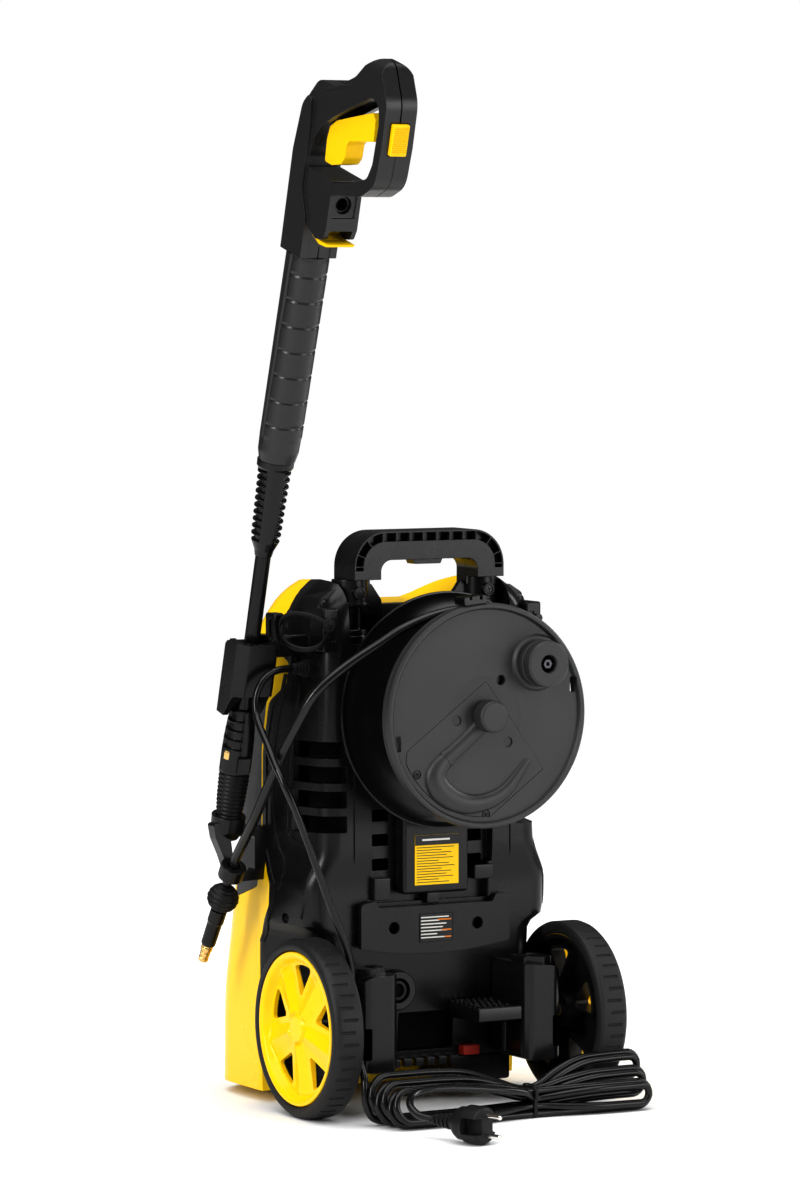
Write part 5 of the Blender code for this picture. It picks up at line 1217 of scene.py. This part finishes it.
def build_gun():
    outline = head_outline()
    body = beveled(prism("head", "YZ", outline, -0.0170, 0.0170), 0.0080, 5, 50)
    column = filleted([(-0.0120, 0.6003), (-0.0125, 0.700), (-0.0050, 0.748), (0.0100, 0.764),
                       (0.0155, 0.735), (0.0150, 0.668), (0.0310, 0.640), (0.0310, 0.6003)],
                      [0.001, 0.03, 0.02, 0.008, 0.02, 0.02, 0.02, 0.001], 5)
    # the head is round across its top
    crown = arc(0, 0.8035, 0.0190, 0, 180, 14) + [(-0.0190, 0.590), (0.0190, 0.590)]
    body = keep_inside(body, prism("crown", "XZ", crown, -0.1, 0.2))
    body = unite(body, beveled(prism("column", "YZ", column, -0.0200, 0.0200), 0.0110, 6, 50))
    opening = filleted(FINGER_GAP, GAP_RADII, 5)
    slot = filleted([(0.014, 0.755), (0.060, 0.762), (0.118, 0.784), (0.128, 0.770), (0.128, 0.740),
                     (0.060, 0.690), (0.022, 0.694)], 0.003, 3)
    hollow = beveled(prism("opening", "YZ", opening, -0.03, 0.03), 0.0006, 1, 50)
    body = cut(body, hollow, prism("slot", "YZ", slot, -0.0105, 0.0105),
               box("lock", (-0.0096, 0.1504, 0.7368), (0.0096, 0.2, 0.7692), 0.0008))
    inlet = filleted([(0.018, 0.645), (0.034, 0.6330), (0.050, 0.6265), (0.066, 0.6290), (0.0700, 0.640),
                      (0.0700, 0.690), (0.018, 0.690)], [0.002, 0.004, 0.006, 0.006, 0.004, 0.002, 0.002], 5)
    inlet = beveled(prism("inlet", "YZ", inlet, -0.0172, 0.0172), 0.0022, 3, 50)
    body = unite(body, inlet)
    collar = placed(box("recess", (-0.0125, -0.0115, -0.002), (0.0125, 0.0125, 0.01), 0.0015),
                    Matrix.Translation((0, 0.0695, 0.6640)) @ Matrix.Rotation(math.radians(-90), 4, "X"))
    body = cut(body, collar, cylinder("port", 0.0088, 0.050, 0.1, "Y", (0, 0, 0.664), 48),
               box("clip", (-0.0125, 0.030, 0.6), (0.0125, 0.2, 0.6385)))
    seam = tube("seam", [(0, v, w) for v, w in outline], 0.0007, 1, True)
    body = cut(body, seam)
    dash = filleted([(0.034, 0.769), (0.080, 0.7845), (0.0840, 0.788), (0.060, 0.782), (0.034, 0.772)],
                    0.0004, 2)
    body = cut(body, prism("dash", "YZ", dash, 0.0164, 0.05), prism("dash", "YZ", dash, -0.05, -0.0164))
    gun_piece(body, "gun_body_fine", GUN, ["gun_body"])

    nut = [(0.0050, 0.0560), (0.0062, 0.0640), (0.0080, 0.0640), (0.0086, 0.0625), (0.0086, 0.0510),
           (0.0050, 0.0510)]
    gun_piece(turned("nut", nut, "Y", (0, 0, 0.664), 48), "gun_inlet_ring", GLOSS)
    blade = filleted([(0.0345, 0.7210), (0.0372, 0.7350), (0.0490, 0.7440), (0.1180, 0.7695),
                      (0.1245, 0.7640), (0.1265, 0.7430), (0.0803, 0.7318), (0.0753, 0.7270),
                      (0.0748, 0.7130), (0.0687, 0.7055), (0.0512, 0.7000), (0.0360, 0.7000)],
                     [0.01, 0.004, 0.006, 0.003, 0.002, 0.002, 0.006, 0.004, 0.005, 0.006, 0.008, 0.003], 5)
    trigger = beveled(prism("trigger", "YZ", blade, -0.0096, 0.0096), 0.0022, 4, 50)
    gun_piece(trigger, "gun_trigger_fine", YELLOW, ["gun_trigger"], "trigger")
    lock = box("lock", (-0.0090, 0.1540, 0.7375), (0.0090, 0.1606, 0.7685), 0.0016, 3)
    for index in range(13):
        w = 0.7405 + 0.0021 * index
        lock = unite(lock, box("rib", (-0.0082, 0.1598, w), (0.0082, 0.1612, w + 0.0010), 0.0003, 1))
    gun_piece(lock, "gun_lock_fine", YELLOW, ["gun_lock"], "trigger_lock")
    clip = filleted([(0.0310, 0.6370), (0.0310, 0.6335), (0.0420, 0.6265), (0.0560, 0.6222), (0.0715, 0.6232),
                     (0.0730, 0.6262), (0.0560, 0.6262), (0.0450, 0.6300), (0.0370, 0.6372)], 0.0012, 3)
    clip = beveled(prism("clip", "YZ", clip, -0.0150, 0.0150), 0.0010, 2, 50)
    gun_piece(clip, "inlet_release_fine", YELLOW, ["inlet_release"], "hose_release")

    def grip(w, angle):
        """Front half smooth; the rear half stands proud inside the long side groove, with cross grooves."""
        t = (w - 0.3845) / 0.215
        rx, ry = 0.0200 + 0.0010 * min(1, t * 8), 0.0203 + 0.0022 * t
        if t < 0.05:
            rx, ry = rx - 0.0020 * (1 - t / 0.05), ry - 0.0020 * (1 - t / 0.05)
        center = 0.002 + 0.0075 * max(0.0, t)
        u, v = math.cos(angle), math.sin(angle)
        border = 0.10 + 0.20 * t
        ends = ramp(w - 0.4080, 0.004) * ramp(0.5990 - w, 0.004)
        pad = ramp(v - border, 0.03) * ends
        ditch = math.exp(-((v - border + 0.09) / 0.055) ** 2)
        ditch *= ramp(w - 0.404, 0.006) * ramp(0.6020 - w, 0.003)
        cross = pad * pulse(w, 0.0262, 0.0026, 0.4240) * (0.4080 < w < 0.5960)
        change = 0.0005 * pad - 0.0020 * ditch - 0.0008 * cross
        return (rx + change) * u, center + (ry + change) * v

    body = relief("grip", spaced(0.3848, 0.5999, 0.0011), 112, grip)
    gun_piece(body, "gun_grip_fine", GUN, ["gun_grip"], sharp=45)

    def collar(w, angle):
        """Tapered bayonet collar: ladder ribs on both sides, a smooth band in front and behind."""
        radius = float(np.interp(w, (0.2840, 0.2900, 0.3000, 0.3060, 0.3700, 0.3760, 0.3780, 0.3840),
                                 (0.0086, 0.0098, 0.0142, 0.0150, 0.0166, 0.0170, 0.0184, 0.0186)))
        side = ramp(abs(math.cos(angle + 0.35)) - 0.55, 0.06)
        gaps = (1 - pulse(w, 0.0072, 0.0022, 0.3075)) * (0.2990 < w < 0.3755) * side
        radius -= 0.0030 * gaps
        return radius * math.cos(angle), radius * math.sin(angle)

    gun_piece(relief("collar", spaced(0.2840, 0.3840, 0.0006), 96, collar), "lance_collar_fine", GLOSS,
              ["lance_collar"], sharp=40)
    gun_piece(cylinder("lance", 0.0078, 0.1215, 0.2837, steps=48), "lance_tube_fine", TUBE,
              ["lance_tube"])

    def nozzle(w, angle):
        """Adjustable nozzle: two rows of ladder windows on a barrel, plain at its base."""
        radius = float(np.interp(w, (0.0532, 0.0545, 0.0760, 0.0900, 0.1080, 0.1200, 0.1212),
                                 (0.0150, 0.0160, 0.0160, 0.0156, 0.0142, 0.0126, 0.0110)))
        side = ramp(math.cos(angle - 0.35) - 0.55, 0.06) + ramp(-math.cos(angle - 0.35) - 0.55, 0.06)
        gaps = (1 - pulse(w, 0.0098, 0.0022, 0.0795)) * (0.0795 < w < 0.1190) * side
        return (radius - 0.0034 * gaps) * math.cos(angle), (radius - 0.0034 * gaps) * math.sin(angle)

    gun_piece(relief("nozzle", spaced(0.0532, 0.1212, 0.0006), 96, nozzle), "nozzle_body_fine", BLACK,
              ["nozzle_body"], "nozzle", 40)
    button = placed(box("button", (-0.0045, -0.0035, -0.001), (0.0045, 0.0035, 0.0014), 0.0012, 3),
                    Matrix.Translation((0.0145, 0.0060, 0.0735)) @ Matrix.Rotation(math.radians(22), 4, "Z")
                    @ Matrix.Rotation(math.radians(90), 4, "Y"))
    gun_piece(button, "nozzle_button", BRASS, body="nozzle")
    latch = box("block", (-0.0065, 0.0120, 0.0560), (0.0065, 0.0200, 0.0740), 0.0012, 2)
    gun_piece(latch, "nozzle_latch", BLACK, body="nozzle")

    def bellows(w, angle):
        base = float(np.interp(w, (-0.0060, 0.0000, 0.0250, 0.0520), (0.0112, 0.0128, 0.0150, 0.0158)))
        radius = base - 0.0011 * (0.5 + 0.5 * math.cos(math.tau * (w + 0.0012 * angle / math.pi) / 0.0044))
        return radius * math.cos(angle), radius * math.sin(angle)

    gun_piece(relief("ring", spaced(-0.0060, 0.0527, 0.0005), 64, bellows), "nozzle_ring_fine", RUBBER,
              ["nozzle_ring"], "nozzle", 60)


# ---------------------------------------------------------------- hose and power cord
HOSE_ROUTE = [(-0.055, 0.050, 0.475), (-0.030, 0.056, 0.4915), (-0.008, 0.062, 0.5035),
              (0.014, 0.065, 0.5095), (0.048, 0.0655, 0.504), (0.080, 0.063, 0.492),
              (0.104, 0.060, 0.478), (0.133, 0.054, 0.460), (0.160, 0.048, 0.439),
              (0.175, 0.041, 0.420), (0.188, 0.025, 0.383), (0.194, 0.000, 0.343),
              (0.197, -0.028, 0.303), (0.195, -0.057, 0.276), (0.1935, -0.0765, 0.258),
              HOOK_EYE, (0.1928, -0.099, 0.229)]
CORD_ROUTE = [(0.152, -0.0385, 0.449), (0.162, -0.036, 0.449), (0.173, -0.0345, 0.447),
              (0.183, -0.034, 0.441), (0.1905, -0.0335, 0.431), (0.195, -0.032, 0.418),
              (0.1965, -0.026, 0.403), (0.1985, -0.011, 0.389), (0.2005, 0.005, 0.377),
              (0.2015, 0.021, 0.361), (0.1975, 0.036, 0.339), (0.186, 0.0425, 0.308),
              (0.169, 0.043, 0.265), (0.1485, 0.042, 0.215), (0.1285, 0.042, 0.166),
              (0.1265, 0.045, 0.120), (0.1265, 0.055, 0.075), (0.1290, 0.0740, 0.0480),
              (0.1300, 0.0785, 0.0260), (0.1250, 0.0798, 0.0110), (0.1150, 0.0800, 0.0055),
              (0.1010, 0.0800, 0.0043)]
TAIL_ROUTE = [(-0.030, 0.1175, 0.0275), (-0.005, 0.1235, 0.0320), (0.030, 0.1250, 0.0370),
              (0.065, 0.1255, 0.0400), (0.092, 0.1290, 0.0400), (0.110, 0.1370, 0.0365),
              (0.118, 0.1490, 0.0290), (0.115, 0.1600, 0.0220), (0.108, 0.1720, 0.0195)]
HANK_Y, HANK_PITCH = 0.1015, 0.0086     # middle of the hank and the spacing of its turns
TIE_X, TIE_REACH = -0.045, 0.045        # the hank is tied here
ROW_PITCH = 0.0078                      # strands touch inside the tie: three columns, four rows
HANK_RUN = [0.085, 0.055, 0.020, -0.010, -0.030, -0.045, -0.060, -0.085, -0.115, -0.145]
# each upright turn: low and high strand at the left end, then at the right end
HANK_TURNS = [((0.0042, 0.0500), (0.0280, 0.0540)), ((0.0090, 0.0420), (0.0320, 0.0505)),
              ((0.0042, 0.0440), (0.0140, 0.0400)), ((0.0090, 0.0360), (0.0180, 0.0365)),
              ((0.0042, 0.0390), (0.0042, 0.0290)), ((0.0090, 0.0320), (0.0085, 0.0265))]


def hank_strand(xs, turn, row, left, right):
    """Points of one strand, gathered to its own column and row where the tie pinches the hank."""
    own_y, tied_y = (turn - 2.5) * HANK_PITCH, (turn // 2 - 1) * ROW_PITCH
    tied_z = 0.0042 + ROW_PITCH * row
    points = []
    for x in xs:
        pinch = math.exp(-((x - TIE_X) / TIE_REACH) ** 2)
        free = left if x > TIE_X else right
        points.append((x, HANK_Y + own_y + (tied_y - own_y) * pinch, free + (tied_z - free) * pinch))
    return points


def hank_fold(x, way, start, end):
    """A half turn at an end of the hank between two (y, z) places; way is the end's side along X."""
    reach = way * abs(end[1] - start[1]) / 2
    points = []
    for index in range(9):
        t = index / 8
        part = (1 - math.cos(math.pi * t)) / 2
        points.append((x + reach * math.sin(math.pi * t), start[0] + (end[0] - start[0]) * part,
                       start[1] + (end[1] - start[1]) * part))
    return points


def hank_route():
    """Upright turns side by side, each from its low strand over the right fold to its high strand."""
    route = []
    for turn, (left, right) in enumerate(HANK_TURNS):
        odd, y = turn % 2, HANK_Y + (turn - 2.5) * HANK_PITCH
        route += hank_strand(HANK_RUN, turn, odd, left[0], right[0])
        route += hank_fold(-0.1705 + 0.0015 * turn, -1, (y, right[0]), (y, right[1]))
        back = hank_strand(HANK_RUN[::-1], turn, 3 - odd, left[1], right[1])
        if turn == len(HANK_TURNS) - 1:
            return route + back[:5]
        low = HANK_TURNS[turn + 1][0][0]
        route += back + hank_fold(0.1060 - 0.0010 * turn, 1, (y, left[1]), (y + HANK_PITCH, low))


def build_hose():
    """The free run of the hose, its ribbed grommet, sleeve and brass coupling."""
    points = smooth_route(HOSE_ROUTE, CABLE_SPACING)
    run = tube("hose", points, HOSE_DIAMETER / 2, 5)
    dress(run, "hose_run_fine", HOSE, "machine", ["hose_run"], 60)
    place = aimed(HOSE_BALL, HOSE_TIP)
    length = (Vector(HOSE_TIP) - Vector(HOSE_BALL)).length
    ball = [(0, 0.0150)]
    for index in range(61):
        angle = math.radians(18 + 144 * index / 60)
        rib = 0.0008 * math.cos(math.tau * index / 7.5)
        ball.append(((0.0156 + rib) * math.sin(angle), 0.0150 * math.cos(angle)))
    ball.append((0, ball[-1][1]))
    grommet = placed(turned("ball", ball, steps=64), place)
    dress(grommet, "hose_grommet_fine", RUBBER, "machine", ["hose_grommet"], 50)
    end = length - 0.019
    sleeve = rounded([(0, end), (0.0068, end), (0.0074, end - 0.002), (0.0076, 0.030), (0.0084, 0.0285),
                      (0.0084, 0.0145), (0, 0.0145)], 0.0008)
    sleeve = placed(turned("sleeve", sleeve, steps=48), place)
    dress(sleeve, "hose_sleeve_fine", BLACK, "machine", ["hose_sleeve"], 50)
    tip = [(0, length), (0.0046, length), (0.0051, length - 0.0008), (0.0052, length - 0.0040),
           (0.0043, length - 0.0046), (0.0043, length - 0.0062), (0.0052, length - 0.0068),
           (0.0052, length - 0.0100), (0.0044, length - 0.0106), (0.0044, length - 0.0120),
           (0.0060, length - 0.0128), (0.0060, length - 0.0165), (0.0052, length - 0.0170),
           (0.0052, length - 0.0187), (0, length - 0.0187)]
    coupling = placed(turned("tip", tip, steps=48), place)
    coupling = cut(coupling, placed(cylinder("mouth", 0.0032, length - 0.006, length + 0.01), place))
    dress(coupling, "hose_coupling_fine", BRASS, "machine", ["hose_coupling"], 40)
    return run, [grommet, sleeve, coupling], points


def build_plug():
    """Moulded two-pin plug with a ribbed strain relief, the gland at the housing and the hank's tie."""
    back = Vector(TAIL_ROUTE[-1])
    place = aimed(back, back + Vector((-0.36, 0.93, 0.0)))
    relief_profile = [(0, 0.0700), (0.0150, 0.0700), (0.0172, 0.0690), (0.0186, 0.0670), (0.0188, 0.0500),
                      (0.0180, 0.0485), (0.0168, 0.0480), (0.0164, 0.0400), (0.0140, 0.0360),
                      (0.0095, 0.0330)]
    for index in range(5):
        w, size = 0.0315 - 0.0058 * index, 0.0088 - 0.0008 * index
        relief_profile += [(size, w), (size, w - 0.0026), (size - 0.0022, w - 0.0032),
                           (size - 0.0022, w - 0.0054)]
    relief_profile += [(0.0042, 0.0010), (0, 0.0010)]
    plug = turned("plug", relief_profile, steps=64)
    for sign in (1, -1):
        flat, groove, face = sign * 0.0150, sign * 0.0175, sign * 0.0105
        plug = cut(plug, box("flat", (flat - 0.004, -0.0080, 0.0520), (flat + 0.0085, 0.0080, 0.08), 0.001),
                   box("groove", (-0.0015, groove - 0.003, 0.050), (0.0015, groove + 0.003, 0.066)),
                   box("face", (face - 0.0022, -0.0065, 0.0690), (face + 0.0022, 0.0065, 0.08), 0.0008))
    plug = dress(placed(beveled(plug, 0.0005, 2, 50), place), "power_plug_fine", RUBBER, "machine",
                 ["power_plug"], 40)
    pins = []
    for sign in (1, -1):
        pin = rounded([(0, 0.0885), (0.0016, 0.0885), (0.0024, 0.0872), (0.0024, 0.0690), (0, 0.0690)],
                      0.0006)
        pins.append(turned("pin", pin, center=(0, sign * 0.0095, 0), steps=24))
    pins = dress(placed(merged("pins", pins), place), "plug_pins", CHROME, "machine")
    gland = [(0, 0.0245), (0.0047, 0.0245)]
    for index in range(4):
        w, size = 0.0215 - 0.0034 * index, 0.0054 + 0.0006 * index
        gland += [(size, w), (size, w - 0.0016), (size - 0.0010, w - 0.0020), (size - 0.0010, w - 0.0030)]
    gland += [(0.0088, 0.0082), (0.0090, -0.0200), (0, -0.0200)]
    gland = placed(turned("gland", gland, steps=48), aimed((0.1270, -0.0445, 0.4480), CORD_ROUTE[0]))
    gland = cut(gland, body_volume("skin", -GAP))
    gland = dress(gland, "cord_gland_fine", RUBBER, "machine", ["cord_gland"], 40)
    ring = filleted([(HANK_Y - 0.0130, 0.0001), (HANK_Y + 0.0130, 0.0001), (HANK_Y + 0.0130, 0.0335),
                     (HANK_Y - 0.0130, 0.0335)], 0.006, 5)
    inner = [(HANK_Y + (y - HANK_Y) * 0.93, 0.0168 + (z - 0.0168) * 0.94) for y, z in ring]
    tie = beveled(prism("tie", "YZ", [ring, inner], TIE_X - 0.0019, TIE_X + 0.0019), 0.0003, 1)
    twist = box("twist", (TIE_X - 0.0019, HANK_Y + 0.0115, 0.0200),
                (TIE_X + 0.0019, HANK_Y + 0.0150, 0.0290), 0.0008)
    tie = dress(merged("tie", [tie, twist]), "cord_tie", RUBBER, "machine")
    return [plug, pins, gland, tie]


def build_cord():
    """One mains lead: down behind the wheel, through the tied hank, and to the plug."""
    points = smooth_route(CORD_ROUTE + hank_route() + TAIL_ROUTE, CABLE_SPACING)
    piece = tube("power_cord", points, CORD_DIAMETER / 2, 3)
    dress(piece, "power_cord", CORD, "machine",
          ["power_cord_run", "power_cord_hank", "power_cord_tail"], 60)
    return piece, points


def row(points):
    return [tuple(PLACE @ Vector(point)) for point in points]


set_camera()
set_stage()
build_body()
build_top_details()
build_switch()
build_center()
build_chassis()
build_wheels()
build_handle()
build_reel()
build_holder()
build_gun()
hose, hose_ends, hose_points = build_hose()
cord_ends = build_plug()
cord, cord_points = build_cord()
